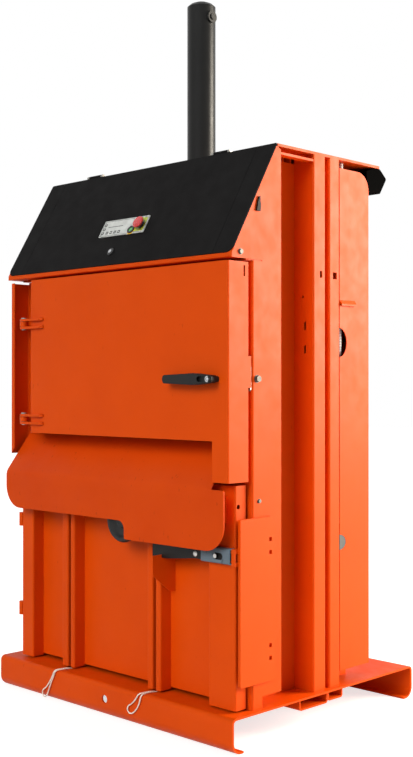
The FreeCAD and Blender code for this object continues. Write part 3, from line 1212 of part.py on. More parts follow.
CABLE = [(478, 590, COLUMN_TOP), (478, 590, 1660), (477, 573, 1565), (480, 560, 1475), (478, 548, 1385),
         (484, 536, 1297), (498, 520, 1222), (503, 515.5, 1145), (498, 518, 1066), (487, 530, 985),
         (481, 543, 898), (485, 556, 802), (482, 560, 700), (482, 560, LINES_FOOT)]


def tube_along(points, radius):
    """A round tube along straight runs joined by tangent arcs, with its arc radii and length."""
    spots = [Vector(*p) for p in points]
    edges, radii = [], []
    start = spots[0]
    for before, corner, after in zip(spots, spots[1:], spots[2:]):
        one, two = before - corner, after - corner
        half = one.getAngle(two) / 2
        reach = 0.45 * min(one.Length, two.Length)
        bend = reach * math.tan(half)
        one.normalize()
        two.normalize()
        entry, leave = corner + one * reach, corner + two * reach
        middle = corner + (one + two).normalize() * (bend / math.sin(half) - bend)
        edges.append(Part.LineSegment(start, entry).toShape())
        edges.append(Part.Arc(entry, middle, leave).toShape())
        radii.append(bend)
        start = leave
    edges.append(Part.LineSegment(start, spots[-1]).toShape())
    spine = Part.Wire(edges)
    circle = Part.Wire([Part.Circle(spots[0], spots[1] - spots[0], radius).toShape()])
    return spine.makePipeShell([circle], True, False), radii, spine.Length


def cord(name, points, radius):
    """One cord's tube; prints its length, arc radii and how its volume compares with a plain bar."""
    tube, radii, length = tube_along(points, radius)
    plain = math.pi * radius ** 2 * length
    print("%s: length %.1f, arc radii %.1f to %.1f, volume ratio %.4f"
          % (name, length, min(radii), max(radii), tube.Volume / plain))
    return tube


def service_lines():
    """The corrugated conduit and the cable behind the right-hand cover, down to the grommet."""
    return group(cord("service conduit", CONDUIT, CONDUIT_RADIUS),
                 cord("service cable", CABLE, CABLE_RADIUS))


# ---- the list of pieces ----------------------------------------------------------------------
def pieces():
    """Every node's name and its shape, in the modelling frame."""
    return {
        "base_pan": base_pan(),
        "base_beams": group(base_beam(*FRONT_BEAM), base_beam(*REAR_BEAM)),
        "bale_chamber": bale_chamber(),
        "front_posts": both_sides(front_post()),
        "side_panels": both_sides(side_panel()),
        "hinge_wall": hinge_wall(),
        "front_columns": both_sides(front_column()),
        "rear_columns": both_sides(column(REAR_COLUMN, REAR_COLUMN_SLOT)),
        "side_covers": group(side_cover(True), mirrored(side_cover(False))),
        "back_panel": back_panel(),
        "top_plate": top_plate(),
        "top_beams": group(top_beam(CYLINDER_Y - BEAM_OFFSET - BEAM_WIDTH),
                           top_beam(CYLINDER_Y + BEAM_OFFSET)),
        "header": header(),
        "frame_bolts": frame_bolts(),
        "hood_lip": hood_lip(),
        "hood_side_strips": both_sides(hood_strip()),
        "hood_lid": hood_lid(),
        "lid_hinge_pins": lid_hinge_pins(),
        "rear_hood": rear_hood(),
        "door_shell": door_shell(),
        "door_liner": door_liner(),
        "door_hinge_lugs": door_hinge_lugs(),
        "door_hinge_brackets": door_hinge_brackets(),
        "door_hinge_pins": door_hinge_pins(),
        "handle_base": handle_base(),
        "handle_lever": handle_lever(),
        "handle_barrel": handle_barrel(),
        "latch_cam": latch_cam(),
        "latch_striker": latch_striker(),
        "lower_panel": lower_panel(),
        "lower_stiles": lower_stiles(),
        "strap_ribs": strap_ribs(),
        "chute_apron": chute_apron(),
        "apron_brackets": apron_brackets(),
        "bar_gusset": bar_gusset(),
        "lock_guide": lock_guide(),
        "lock_bar": lock_bar(),
        "pinion": pinion(),
        "hand_wheel": hand_wheel(),
        "spindle_bush": spindle_bush(),
        "keeper_plate": keeper_plate(),
        "lower_hinge_leaves": lower_hinge_leaves(),
        "lower_hinge_frame": lower_hinge_frame(),
        "cylinder_tube": cylinder_tube(),
        "cylinder_cap": cylinder_cap(),
        "cylinder_gland": cylinder_gland(),
        "cylinder_flange": cylinder_flange(),
        "piston_rod": piston_rod(),
        "press_plate": press_plate(),
        "power_pack": power_pack(),
        "electric_box": electric_box(),
        "control_plate": control_plate(),
        "lid_fittings": lid_fittings(),
        "estop_head": estop_head(),
        "start_button": start_button(),
        "lid_lock_barrel": lid_lock_barrel(),
        "strap_loop_left": cord("left twine", LEFT_TWINE, TWINE_RADIUS),
        "strap_loop_right": cord("right twine", RIGHT_TWINE, TWINE_RADIUS),
        "service_lines": service_lines(),
        "cable_grommet": cable_grommet(),
    }


def main():
    """Build every piece, move it to the footprint's middle and write it to its own file."""
    os.makedirs("parts", exist_ok=True)
    for name, shape in pieces().items():
        shape.translate(Vector(0, -FOOTPRINT_Y, 0))
        state = "" if shape.isValid() and shape.Volume > 0 else "  NOT VALID"
        print("%-20s %2d solids %12.0f mm3%s" % (name, len(shape.Solids), shape.Volume, state))
        shape.exportStep("parts/%s.step" % name)


main()
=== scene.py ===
"""The recycling baler's looks: its paints, plastics, metals and twine, the printed control face,
and the studio with its camera, light and floor.

Every length is in metres in the row's frame: +X to the right of someone facing the machine, +Y to
its back and +Z up, with the origin on the floor under the middle of the footprint. Only the twine's
points and the control face are written in millimetres.
"""

import logging
import math
from dataclasses import dataclass
from enum import Enum
from functools import cached_property
from typing import Any, Mapping, Sequence

import bmesh
import bpy
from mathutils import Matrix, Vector

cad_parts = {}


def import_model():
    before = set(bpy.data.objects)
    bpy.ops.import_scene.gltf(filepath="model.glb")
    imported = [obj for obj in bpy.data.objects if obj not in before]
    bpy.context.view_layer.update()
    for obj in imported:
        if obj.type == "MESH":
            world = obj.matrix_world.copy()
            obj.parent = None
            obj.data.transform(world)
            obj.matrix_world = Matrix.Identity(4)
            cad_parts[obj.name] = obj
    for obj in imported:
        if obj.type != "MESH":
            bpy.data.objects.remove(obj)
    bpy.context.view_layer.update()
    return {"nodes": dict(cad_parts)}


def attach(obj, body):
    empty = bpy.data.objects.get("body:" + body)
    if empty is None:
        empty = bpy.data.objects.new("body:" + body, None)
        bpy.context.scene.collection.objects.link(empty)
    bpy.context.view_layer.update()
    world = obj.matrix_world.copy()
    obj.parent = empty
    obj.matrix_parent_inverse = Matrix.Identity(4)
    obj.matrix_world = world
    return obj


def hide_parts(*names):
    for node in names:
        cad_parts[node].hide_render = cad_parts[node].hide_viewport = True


LOG = logging.getLogger("baler")
MM = 0.001

Linear = tuple[float, float, float, float]
Point = tuple[float, float, float]
Flat = tuple[float, float]
Spot = tuple[Point, float]
Source = tuple[bpy.types.Node, str | int]

WHITE: Linear = (1.0, 1.0, 1.0, 1.0)
EVEN: Point = (1.0, 1.0, 1.0)
WHOLE: Flat = (0.0, 1.0)
REVERSED: Flat = (1.0, 0.0)

# Parts of a noise pattern's range
MIDDLE: Flat = (0.3, 0.7)
PATCHES: Flat = (0.35, 0.7)
HIGH_SPOTS: Flat = (0.45, 0.75)

FINER_LAYERS = 0.55                    # how strongly each finer layer of a noise pattern shows
NEARLY_NOTHING = 1e-9                  # under this, a line across or upward counts as level

# A Mix node repeats each socket's name for each kind of value, so its sockets go by number
FACTOR = 0
NUMBER_ONE, NUMBER_TWO, NUMBER_OUT = 2, 3, 0
COLOUR_ONE, COLOUR_TWO, COLOUR_OUT = 6, 7, 2


def linear(colour: str) -> Linear:
    """Turn an sRGB hex colour into the linear values that shaders use.

    Args:
        colour: Six hex digits after a hash sign.

    Returns:
        Red, green, blue and alpha, each from 0 to 1.
    """
    channels = [int(colour[i:i + 2], 16) / 255 for i in (1, 3, 5)]
    bent = [c / 12.92 if c <= 0.04045 else ((c + 0.055) / 1.055) ** 2.4 for c in channels]
    return (*bent, 1.0)


def around(middle: float, spread: Flat) -> Flat:
    """Give the lowest and the highest value of a spread round a middle."""
    return middle + spread[0], middle + spread[1]


def ramp(span: Flat, levels: Flat) -> dict[str, float]:
    """Give the values with which a Map Range node carries a span over to other levels."""
    return {"From Min": span[0], "From Max": span[1], "To Min": levels[0], "To Max": levels[1]}


def band_scale(pitch: float) -> float:
    """Give the scale at which a Wave texture's bands are one pitch apart along an axis."""
    return math.pi / (10 * pitch)


# ---- node trees ------------------------------------------------------------------------------
class Graph:
    """A node tree that is built up node by node."""

    def __init__(self, tree: bpy.types.NodeTree) -> None:
        """Start with an empty tree.

        Args:
            tree: The tree of a material or a world.
        """
        self.tree = tree
        tree.nodes.clear()

    def add(self, kind: str, values: Mapping[str | int, Any] | None = None,
            links: Mapping[str | int, Source] | None = None, **settings: Any) -> bpy.types.Node:
        """Add one node with its settings and links.

        Args:
            kind: The node's class name.
            values: Values of its input sockets, by name or number.
            links: The node and the output that feed an input socket.
            settings: Attributes of the node itself, such as its operation.

        Returns:
            The new node.
        """
        made = self.tree.nodes.new(kind)
        for key, value in settings.items():
            setattr(made, key, value)
        for socket, value in (values or {}).items():
            made.inputs[socket].default_value = value
        for socket, (node, output) in (links or {}).items():
            self.tree.links.new(node.outputs[output], made.inputs[socket])
        return made

    def greatest(self, sources: Sequence[Source]) -> Source:
        """Give the greatest of some values.

        Args:
            sources: The outputs that give the values.

        Returns:
            The output that gives the greatest.
        """
        total, *others = sources
        for other in others:
            total = (self.add("ShaderNodeMath", links={0: total, 1: other}, operation="MAXIMUM"), 0)
        return total

    def looked_at(self) -> Source:
        """Tell where a surface is looked at, mirrored or seen through glass.

        Returns:
            The output that gives 1 there and 0 elsewhere.
        """
        path = self.add("ShaderNodeLightPath")
        rays = ("Is Camera Ray", "Is Glossy Ray", "Is Transmission Ray")
        return self.greatest([(path, ray) for ray in rays])


class Surface(Graph):
    """A material's node tree, whose patterns lie still in the machine's own frame."""

    def __init__(self, name: str) -> None:
        """Start an empty material.

        Args:
            name: The material's name.
        """
        self.material = bpy.data.materials.new(name)
        self.material.use_nodes = True
        super().__init__(self.material.node_tree)

    @cached_property
    def place(self) -> Source:
        """Give the coordinates in the machine's own frame."""
        return self.add("ShaderNodeTexCoord"), "Object"

    def pattern(self, pitch: float, detail: float, stretch: Point = EVEN) -> Source:
        """Make an irregular pattern whose features are about one pitch wide.

        Args:
            pitch: Size of a feature.
            detail: How many finer layers it has.
            stretch: Scale along each axis, under 1 to draw the features out.

        Returns:
            The output that gives the pattern.
        """
        drawn = self.add("ShaderNodeMapping", {"Scale": stretch}, {"Vector": self.place})
        values = {"Scale": 1 / pitch, "Detail": detail, "Roughness": FINER_LAYERS}
        return self.add("ShaderNodeTexNoise", values, {"Vector": (drawn, "Vector")}), "Fac"

    def mottle(self, pitch: float, span: Flat, levels: Flat, detail: float = 2.0,
               stretch: Point = EVEN) -> Source:
        """Make a value vary over the surface in irregular patches.

        Args:
            pitch: Size of a patch.
            span: The part of the pattern's range that is used.
            levels: The value at that part's ends.
            detail: How many finer layers the pattern has.
            stretch: Scale along each axis, under 1 to draw the patches out.

        Returns:
            The output that gives the value.
        """
        source = self.pattern(pitch, detail, stretch)
        return self.add("ShaderNodeMapRange", ramp(span, levels), {"Value": source}), "Result"

    def relief(self, pitch: float, depth: float, detail: float = 1.0,
               under: Source | None = None) -> Source:
        """Make the surface uneven in irregular bumps.

        Args:
            pitch: Size of a bump.
            depth: Its height.
            detail: How many finer layers the bumps have.
            under: A relief that this one lies on.

        Returns:
            The output that gives the normal.
        """
        links = {"Height": self.pattern(pitch, detail)}
        if under is not None:
            links["Normal"] = under
        return self.add("ShaderNodeBump", {"Distance": depth}, links), "Normal"

    def within(self, spots: Sequence[Spot]) -> Source:
        """Mark round spots of the surface.

        Args:
            spots: Centre and radius of each spot.

        Returns:
            The output that gives 1 within a spot and 0 elsewhere.
        """
        marks = []
        for centre, radius in spots:
            gap = self.add("ShaderNodeVectorMath", {1: centre}, {0: self.place}, operation="DISTANCE")
            inside = self.add("ShaderNodeMath", {1: radius}, {0: (gap, "Value")}, operation="LESS_THAN")
            marks.append((inside, 0))
        return self.greatest(marks)

    def layered(self, base: Linear, layers: Sequence[tuple[Source, Linear]]) -> Source:
        """Lay colours over a base colour, each where its own mask is 1.

        Args:
            base: The base colour.
            layers: The mask and the colour of each layer, from the lowest up.

        Returns:
            The output that gives the colour.
        """
        mask, colour = layers[0]
        shown = self.add("ShaderNodeMix", {COLOUR_ONE: base, COLOUR_TWO: colour}, {FACTOR: mask},
                         data_type="RGBA")
        for mask, colour in layers[1:]:
            shown = self.add("ShaderNodeMix", {COLOUR_TWO: colour},
                             {FACTOR: mask, COLOUR_ONE: (shown, COLOUR_OUT)}, data_type="RGBA")
        return shown, COLOUR_OUT

    def finish(self, values: Mapping[str, Any], links: Mapping[str, Source]) -> bpy.types.Material:
        """Close the material with its shader and its output.

        Args:
            values: Values of the shader's sockets.
            links: What feeds the shader's other sockets.

        Returns:
            The finished material.
        """
        shader = self.add("ShaderNodeBsdfPrincipled", values, links)
        self.add("ShaderNodeOutputMaterial", links={"Surface": (shader, "BSDF")})
        return self.material


# ---- finishes --------------------------------------------------------------------------------
@dataclass(frozen=True)
class Paint:
    """Paint or powder coat on steel, with its peel, faint clouding and rubbed spots."""

    name: str
    colour: str
    shade: str
    rubbed: str
    roughness: float
    peel: float = 2.2 * MM             # the waves of orange peel are 1 to 3 mm wide
    peel_depth: float = 0.03 * MM
    cloud: float = 220 * MM            # slow drift of the coat's thickness over a panel
    rub: float = 12 * MM               # scuffs about as wide as a finger
    rub_stretch: Point = (1.0, 1.0, 0.35)
    rub_level: float = 0.70
    rub_edge: float = 0.05
    wear: float = 0.7
    handled: float = 50 * MM           # duller and shinier patches as wide as a palm
    uneven: Flat = (-0.05, 0.06)
    gloss: float = 0.1
    ior: float = 1.5
    studs: tuple[Spot, ...] = ()
    stud_colour: str = "#C4C3BF"

    def build(self) -> bpy.types.Material:
        """Make the material.

        Returns:
            The painted material.
        """
        surface = Surface(self.name)
        clouds = surface.mottle(self.cloud, PATCHES, WHOLE, detail=3.0)
        rubs = surface.mottle(self.rub, (self.rub_level, self.rub_level + self.rub_edge),
                              (0.0, self.wear), detail=4.0, stretch=self.rub_stretch)
        layers = [(clouds, linear(self.shade)), (rubs, linear(self.rubbed))]
        links = {}
        if self.studs:
            links["Metallic"] = surface.within(self.studs)
            layers.append((links["Metallic"], linear(self.stud_colour)))
        links["Base Color"] = surface.layered(linear(self.colour), layers)
        links["Roughness"] = surface.mottle(self.handled, MIDDLE, around(self.roughness, self.uneven))
        links["Normal"] = surface.relief(self.peel, self.peel_depth)
        return surface.finish({"IOR": self.ior, "Specular IOR Level": self.gloss}, links)


@dataclass(frozen=True)
class Plastic:
    """Moulded plastic, rubber or an ink film, with a fine grain and slightly uneven gloss.

    A spark-eroded mould's grain is 0.1 to 0.2 mm wide; it is drawn coarser so that it shows.
    """

    name: str
    colour: str
    roughness: float
    ior: float = 1.49
    grain: float = 0.6 * MM
    grain_depth: float = 0.02 * MM
    coat: float = 0.0
    gloss: float = 0.5
    flow: float = 30 * MM              # faint flow marks of the moulding
    paler: float = 1.25
    least_paler: float = 0.004
    handled: float = 10 * MM
    uneven: Flat = (-0.04, 0.05)

    def build(self) -> bpy.types.Material:
        """Make the material.

        Returns:
            The plastic material.
        """
        surface = Surface(self.name)
        base = linear(self.colour)
        lighter = (*(min(1.0, c * self.paler + self.least_paler) for c in base[:3]), 1.0)
        flow = surface.mottle(self.flow, PATCHES, WHOLE)
        return surface.finish(
            {"IOR": self.ior, "Specular IOR Level": self.gloss, "Coat Weight": self.coat},
            {"Base Color": surface.layered(base, [(flow, lighter)]),
             "Roughness": surface.mottle(self.handled, MIDDLE, around(self.roughness, self.uneven)),
             "Normal": surface.relief(self.grain, self.grain_depth)})


@dataclass(frozen=True)
class Metal:
    """Bare metal with drawn-out tool marks and a few dull spots.

    Turning and grinding marks are about 0.1 mm apart; they are drawn coarser so that they show.
    """

    name: str
    colour: str
    roughness: float
    brush: float = 0.5 * MM
    stretch: Point = (1.0, 1.0, 0.04)
    marks: float = 0.015 * MM
    tarnish: float = 20 * MM
    dulling: float = 0.75
    uneven: Flat = (-0.05, 0.08)
    dark: tuple[Spot, ...] = ()
    dark_colour: str = "#242322"

    def build(self) -> bpy.types.Material:
        """Make the material.

        Returns:
            The metal material.
        """
        surface = Surface(self.name)
        base = linear(self.colour)
        dull = (*(c * self.dulling for c in base[:3]), 1.0)
        layers = [(surface.mottle(self.tarnish, HIGH_SPOTS, WHOLE, detail=3.0), dull)]
        if self.dark:
            layers.append((surface.within(self.dark), linear(self.dark_colour)))
        lines = surface.pattern(self.brush, 2.0, self.stretch)
        rough = surface.add("ShaderNodeMapRange", ramp(MIDDLE, around(self.roughness, self.uneven)),
                            {"Value": lines})
        scored = surface.add("ShaderNodeBump", {"Distance": self.marks}, {"Height": lines})
        return surface.finish({"Metallic": 1.0},
                              {"Base Color": surface.layered(base, layers),
                               "Roughness": (rough, "Result"), "Normal": (scored, "Normal")})


@dataclass(frozen=True)
class Grip:
    """The handle's moulded nylon, with a bright split ring set flush round its key barrel.

    Its grain is drawn coarser than real, as on the other mouldings.
    """

    name: str
    colour: str
    ring_colour: str
    centre: Point
    ring_radius: float
    ring_half_width: float
    split_x: float                     # the ring shows only to the left of this
    roughness: float = 0.42
    gloss: float = 0.28
    ior: float = 1.49
    handled: float = 8 * MM
    uneven: Flat = (-0.06, 0.06)
    grain: float = 0.5 * MM
    grain_depth: float = 0.015 * MM

    def build(self) -> bpy.types.Material:
        """Make the material.

        Returns:
            The grip's material.
        """
        surface = Surface(self.name)
        gap = surface.add("ShaderNodeVectorMath", {1: self.centre}, {0: surface.place},
                          operation="DISTANCE")
        band = surface.add("ShaderNodeMath", {1: self.ring_radius, 2: self.ring_half_width},
                           {0: (gap, "Value")}, operation="COMPARE")
        axes = surface.add("ShaderNodeSeparateXYZ", links={"Vector": surface.place})
        left = surface.add("ShaderNodeMath", {1: self.split_x}, {0: (axes, "X")},
                           operation="LESS_THAN")
        ring = (surface.add("ShaderNodeMath", links={0: (band, 0), 1: (left, 0)},
                            operation="MULTIPLY"), 0)
        return surface.finish(
            {"IOR": self.ior, "Specular IOR Level": self.gloss},
            {"Base Color": surface.layered(linear(self.colour), [(ring, linear(self.ring_colour))]),
             "Metallic": ring,
             "Roughness": surface.mottle(self.handled, MIDDLE, around(self.roughness, self.uneven)),
             "Normal": surface.relief(self.grain, self.grain_depth)})


@dataclass(frozen=True)
class Ribbed:
    """Corrugated conduit: rings across its length over a matt plastic, with painted shade in the valleys between the
    rings.

    The rings of such conduit are 3 to 4 mm apart; they are drawn a little wider so that they show.
    """

    name: str
    colour: str
    # colour of the painted shade in the valleys
    valley_shade: str
    pitch: float = 5.0 * MM
    depth: float = 1.2 * MM
    dip_shade_span: Flat = (0.1, 0.8)
    handled: float = 20 * MM
    uneven: Flat = (-0.05, 0.05)
    roughness: float = 0.5

    def build(self) -> bpy.types.Material:
        """Make the material.

        Returns:
            The conduit's material.
        """
        surface = Surface(self.name)
        rings = (surface.add("ShaderNodeTexWave", {"Scale": band_scale(self.pitch), "Distortion": 0.0},
                             {"Vector": surface.place}, wave_type="BANDS", bands_direction="Z"), "Fac")
        # The valleys between the rings get a darker colour: painted shade
        dip_shade = surface.add("ShaderNodeMapRange", ramp(self.dip_shade_span, REVERSED), {"Value": rings})
        ribs = surface.add("ShaderNodeBump", {"Distance": self.depth}, {"Height": rings})
        shaded_valleys = [((dip_shade, "Result"), linear(self.valley_shade))]
        return surface.finish({}, {
            "Base Color": surface.layered(linear(self.colour), shaded_valleys),
            "Roughness": surface.mottle(self.handled, MIDDLE, around(self.roughness, self.uneven)),
            "Normal": (ribs, "Normal")})


@dataclass(frozen=True)
class Twine:
    """Twisted twine: slanting strands with short stray fibres, and painted shade in the grooves between the strands.

    A fibre is about 0.04 mm thick; they are drawn ten times coarser so that they show as fuzz.
    """

    name: str
    colour: str
    # colour of the painted shade between the strands
    groove_shade: str
    lay: float = 3.5 * MM              # puts the slanting strands about 4 mm apart
    wander: float = 1.5
    dip_shade_span: Flat = (0.0, 0.6)
    strand_depth: float = 0.4 * MM
    fibre: float = 0.4 * MM
    fibre_depth: float = 0.15 * MM
    roughness: float = 0.85
    sheen: float = 0.3

    def build(self) -> bpy.types.Material:
        """Make the material.

        Returns:
            The twine's material.
        """
        surface = Surface(self.name)
        strands = (surface.add("ShaderNodeTexWave",
                               {"Scale": band_scale(self.lay), "Distortion": self.wander},
                               {"Vector": surface.place}, wave_type="BANDS",
                               bands_direction="DIAGONAL"), "Fac")
        # The grooves between the strands get a darker colour: painted shade
        dip_shade = surface.add("ShaderNodeMapRange", ramp(self.dip_shade_span, REVERSED), {"Value": strands})
        twist = surface.add("ShaderNodeBump", {"Distance": self.strand_depth}, {"Height": strands})
        shaded_grooves = [((dip_shade, "Result"), linear(self.groove_shade))]
        return surface.finish(
            {"Roughness": self.roughness, "Sheen Weight": self.sheen},
            {"Base Color": surface.layered(linear(self.colour), shaded_grooves),
             "Normal": surface.relief(self.fibre, self.fibre_depth, 3.0, (twist, "Normal"))})


@dataclass(frozen=True)
class PaleBoard:
    """The studio floor's matt board, which gives a little light to the eye alone."""

    name: str
    colour: str
    lift: float
    roughness: float = 0.9
    gloss: float = 0.1

    def build(self) -> bpy.types.Material:
        """Make the material.

        Returns:
            The floor's material.
        """
        surface = Surface(self.name)
        lift = surface.add("ShaderNodeMath", {1: self.lift}, {0: surface.looked_at()},
                           operation="MULTIPLY")
        return surface.finish({"Base Color": linear(self.colour), "Roughness": self.roughness,
                               "Specular IOR Level": self.gloss, "Emission Color": WHITE},
                              {"Emission Strength": (lift, 0)})


class Finish(Enum):
    """The finishes of the machine's pieces, each with what it gives the eye."""

    # Polyester powder, sprayed and baked on sheet steel: an even satin orange with a wide sheen
    ORANGE = Paint("orange_powder_coat", "#DA4B03", "#D44702", "#B83A02", 0.45)
    # The same coat on the chute: a shade deeper as painted shade, with more rubbed spots where rubbish slides over it
    CHUTE = Paint("scuffed_and_shaded_orange_powder_coat", "#D04503", "#CA4002", "#AC3402", 0.48, rub_level=0.66)
    # Structured powder coat: dry and nearly black. Its real texture is about 0.4 mm wide and is
    # drawn coarser so that it shows
    BLACK = Paint("black_structured_powder_coat", "#171616", "#141313", "#252424", 0.72, 1.6 * MM,
                  0.12 * MM, gloss=0.06)
    # The same coat on the rear hood, drawn as coarse: darker as painted shade, and with no shine from behind
    CAP = Paint("shaded_black_structured_powder_coat", "#0B0B0B", "#090909", "#151515", 0.8, 1.6 * MM,
                0.12 * MM, gloss=0.0)
    # Brushed enamel on flat bar: warm black, with bare steel showing on its rivet and stud
    LOCK = Paint("black_bar_enamel", "#171513", "#131211", "#2C2926", 0.5, gloss=0.2, rub_level=0.66,
                 studs=(((0.369, -0.387, 0.545), 8.7 * MM), ((0.455, -0.393, 0.548), 7.0 * MM)))
    # Sprayed enamel on a turned tube: black, with one long upright highlight
    CYLINDER = Paint("black_cylinder_enamel", "#151514", "#111110", "#282826", 0.33, rub_level=0.74,
                     gloss=0.19)
    # Sprayed enamel on plate: a cool half-matt grey, rubbed where the bar runs
    GREY = Paint("blue_grey_plate_enamel", "#687680", "#5F6D76", "#454E54", 0.42, rub_level=0.64)
    # Powder coat of a switch cabinet: pale grey and satin
    LIGHT = Paint("light_grey_powder_coat", "#C9CAC6", "#C0C1BD", "#A6A7A3", 0.45)
    # Machine enamel on motor, pump and tank: a plain mid grey
    PACK = Paint("mid_grey_machine_enamel", "#5C6467", "#555C60", "#44494C", 0.45)
    # Zinc-plated turned steel: a silvery grey with fine marks round it
    STEEL = Metal("zinc_plated_turned_steel", "#9C9A94", 0.42)
    # Weathered zinc on bolts: a duller grey than the pins', with one part left black
    BOLTS = Metal("weathered_zinc_plated_steel", "#6B6964", 0.58,
                  dark=(((0.535, -0.292, 1.5625), 0.026),))
    # Plate scoured by the bales: a grey shine, scored from front to back
    PLATEN = Metal("scoured_plate_steel", "#8E8A84", 0.42, 1.2 * MM, (1.0, 0.05, 1.0))
    # Hard chrome on ground steel: nearly a mirror
    CHROME = Metal("ground_hard_chrome", "#DADBDD", 0.12, 0.8 * MM, (1.0, 1.0, 0.02), 0.004 * MM)
    # Moulded glass-filled nylon: black with a fine grain and a faint shine
    MOULDED = Plastic("black_moulded_nylon", "#0F0F0F", 0.5, gloss=0.3)
    # Moulded ABS: a smoother black that is a little lighter
    FITTING = Plastic("black_moulded_abs", "#1D1D1D", 0.4, gloss=0.4)
    # Polished moulded polycarbonate: a strong red under a glossy skin
    RED = Plastic("red_polished_polycarbonate", "#C4100F", 0.24, 1.5, 1.2 * MM, 0.004 * MM, 0.5)
    # The same in green, with a slightly softer shine
    GREEN = Plastic("green_polished_polycarbonate", "#2F9A4A", 0.28, 1.5, 1.2 * MM, 0.004 * MM, 0.4)
    # Moulded EPDM rubber: dark grey and quite dull
    RUBBER = Plastic("grey_moulded_rubber", "#4A4B4A", 0.68, 1.52, 0.8 * MM, 0.05 * MM)
    # Extruded corrugated polyamide: pale rings, with grey painted shade in the valleys between them
    CONDUIT = Ribbed("pale_corrugated_polyamide", "#F4F5F5", "#8E9090")
    # Twisted polyester: white and fibrous, with painted shade between its strands
    TWINE = Twine("white_twisted_polyester", "#FFFBF0", "#E6DAC0")
    # Moulded nylon: black, broken by the bright split ring round the key
    GRIP = Grip("black_moulded_nylon_with_ring", "#0B0B0B", "#C9CACB", (0.487, -0.455, 1.055),
                7.4 * MM, 1.3 * MM, 0.4895)
    # Printed polyester film: pale grey and smooth
    PANEL = Plastic("pale_polyester_film", "#C2C4BF", 0.40, 1.49, 1.0 * MM, 0.01 * MM)
    # Screen-printed ink: dark grey and matt
    INK = Plastic("dark_screen_ink", "#2A2C2B", 0.55)
    # Screen-printed ink round the start button: a warm yellow
    YELLOW = Plastic("yellow_screen_ink", "#D8A41C", 0.45)
    # Screen-printed ink round the emergency stop: a yellowish green
    LIME = Plastic("lime_screen_ink", "#A9B53A", 0.45)


Finishes = tuple[tuple[Finish, tuple[str, ...]], ...]


class Workshop:
    """Makes each finish's material once and gives it to pieces."""

    def __init__(self) -> None:
        """Start with no materials made."""
        self.made: dict[Finish, bpy.types.Material] = {}

    def material(self, finish: Finish) -> bpy.types.Material:
        """Give a finish's material.

        Args:
            finish: The finish that is wanted.

        Returns:
            Its material, made on the first call.
        """
        if finish not in self.made:
            self.made[finish] = finish.value.build()
        return self.made[finish]

    def dress(self, name: str, node: bpy.types.Object, finish: Finish) -> None:
        """Give a carried-over node its finish.

        Args:
            name: The node's name.
            node: Its object.
            finish: Its finish.
        """
        for slot in node.material_slots:
            slot.material = self.material(finish)
        if not node.material_slots:
            node.data.materials.append(self.material(finish))
        LOG.info("%s: %s", name, finish.value.name)

    def piece(self, name: str, data: bpy.types.Mesh | bpy.types.Curve, finish: Finish, body: str) -> bpy.types.Object:
        """Turn a mesh or a curve into a finished piece that rides on a body.

        Args:
            name: The piece's name.
            data: Its geometry.
            finish: Its finish.
            body: The body it rides on.

        Returns:
            The new object.
        """
        made = bpy.data.objects.new(name, data)
        bpy.context.scene.collection.objects.link(made)
        data.materials.append(self.material(finish))
        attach(made, body)
        LOG.info("%s: %s", name, finish.value.name)
        return made


def mesh_data(name: str, mesh: bmesh.types.BMesh) -> bpy.types.Mesh:
    """Turn a working mesh into mesh data.

    Args:
        name: The data's name.
        mesh: The working mesh, which is used up.

    Returns:
        The mesh data.
    """
    data = bpy.data.meshes.new(name)
    mesh.to_mesh(data)
    mesh.free()
    return data


# ---- sub-assemblies whose shapes are the frame's own nodes --------------------------------------
@dataclass(frozen=True)
class SubAssembly:
    """A sub-assembly of the frame's nodes, with the nodes that each finish covers."""

    finishes: Finishes = ()

    def dress(self, workshop: Workshop, nodes: Mapping[str, bpy.types.Object]) -> None:
        """Give every node of the sub-assembly its finish.

        Args:
            workshop: Where the materials come from.
            nodes: The frame's nodes by name.
        """
        for finish, names in self.finishes:
            for name in names:
                workshop.dress(name, nodes[name], finish)


@dataclass(frozen=True)
class Body(SubAssembly):
    """The welded body: base, chamber, columns, covers, header, top and rear hood."""

    finishes: Finishes = (
        (Finish.ORANGE, (
            "base_pan", "base_beams", "bale_chamber", "front_posts", "side_panels", "hinge_wall",
            "front_columns", "rear_columns", "side_covers", "back_panel", "top_plate", "top_beams",
            "header", "hood_lip", "door_hinge_brackets", "keeper_plate", "lower_hinge_frame")),
        (Finish.BLACK, ("hood_side_strips",)),
        (Finish.CAP, ("rear_hood",)),
        (Finish.BOLTS, ("frame_bolts",)),
        (Finish.STEEL, ("lid_hinge_pins", "door_hinge_pins", "latch_striker")),
    )


@dataclass(frozen=True)
class Press(SubAssembly):
    """The press and its drive: cylinder, rod, plate, power pack, cabinet and service lines."""

    finishes: Finishes = (
        (Finish.CYLINDER, ("cylinder_tube", "cylinder_cap", "cylinder_flange")),
        (Finish.STEEL, ("cylinder_gland",)),
        (Finish.CHROME, ("piston_rod",)),
        (Finish.PLATEN, ("press_plate",)),
        (Finish.PACK, ("power_pack",)),
        (Finish.LIGHT, ("electric_box",)),
        (Finish.CONDUIT, ("service_lines",)),
        (Finish.RUBBER, ("cable_grommet",)),
    )


@dataclass(frozen=True)
class ServiceLid(SubAssembly):
    """The hood's sloping lid, with the control plate and its fittings."""

    finishes: Finishes = (
        (Finish.BLACK, ("hood_lid",)),
        (Finish.PANEL, ("control_plate",)),
        (Finish.FITTING, ("lid_fittings",)),
        (Finish.RED, ("estop_head",)),
        (Finish.GREEN, ("start_button",)),
        (Finish.CHROME, ("lid_lock_barrel",)),
    )


@dataclass(frozen=True)
class FeedDoor(SubAssembly):
    """The upper door, with its handle and latch."""

    finishes: Finishes = (
        (Finish.ORANGE, ("door_shell", "door_liner", "door_hinge_lugs")),
        (Finish.MOULDED, ("handle_base",)),
        (Finish.GRIP, ("handle_lever",)),
        (Finish.CHROME, ("handle_barrel",)),
        (Finish.STEEL, ("latch_cam",)),
    )


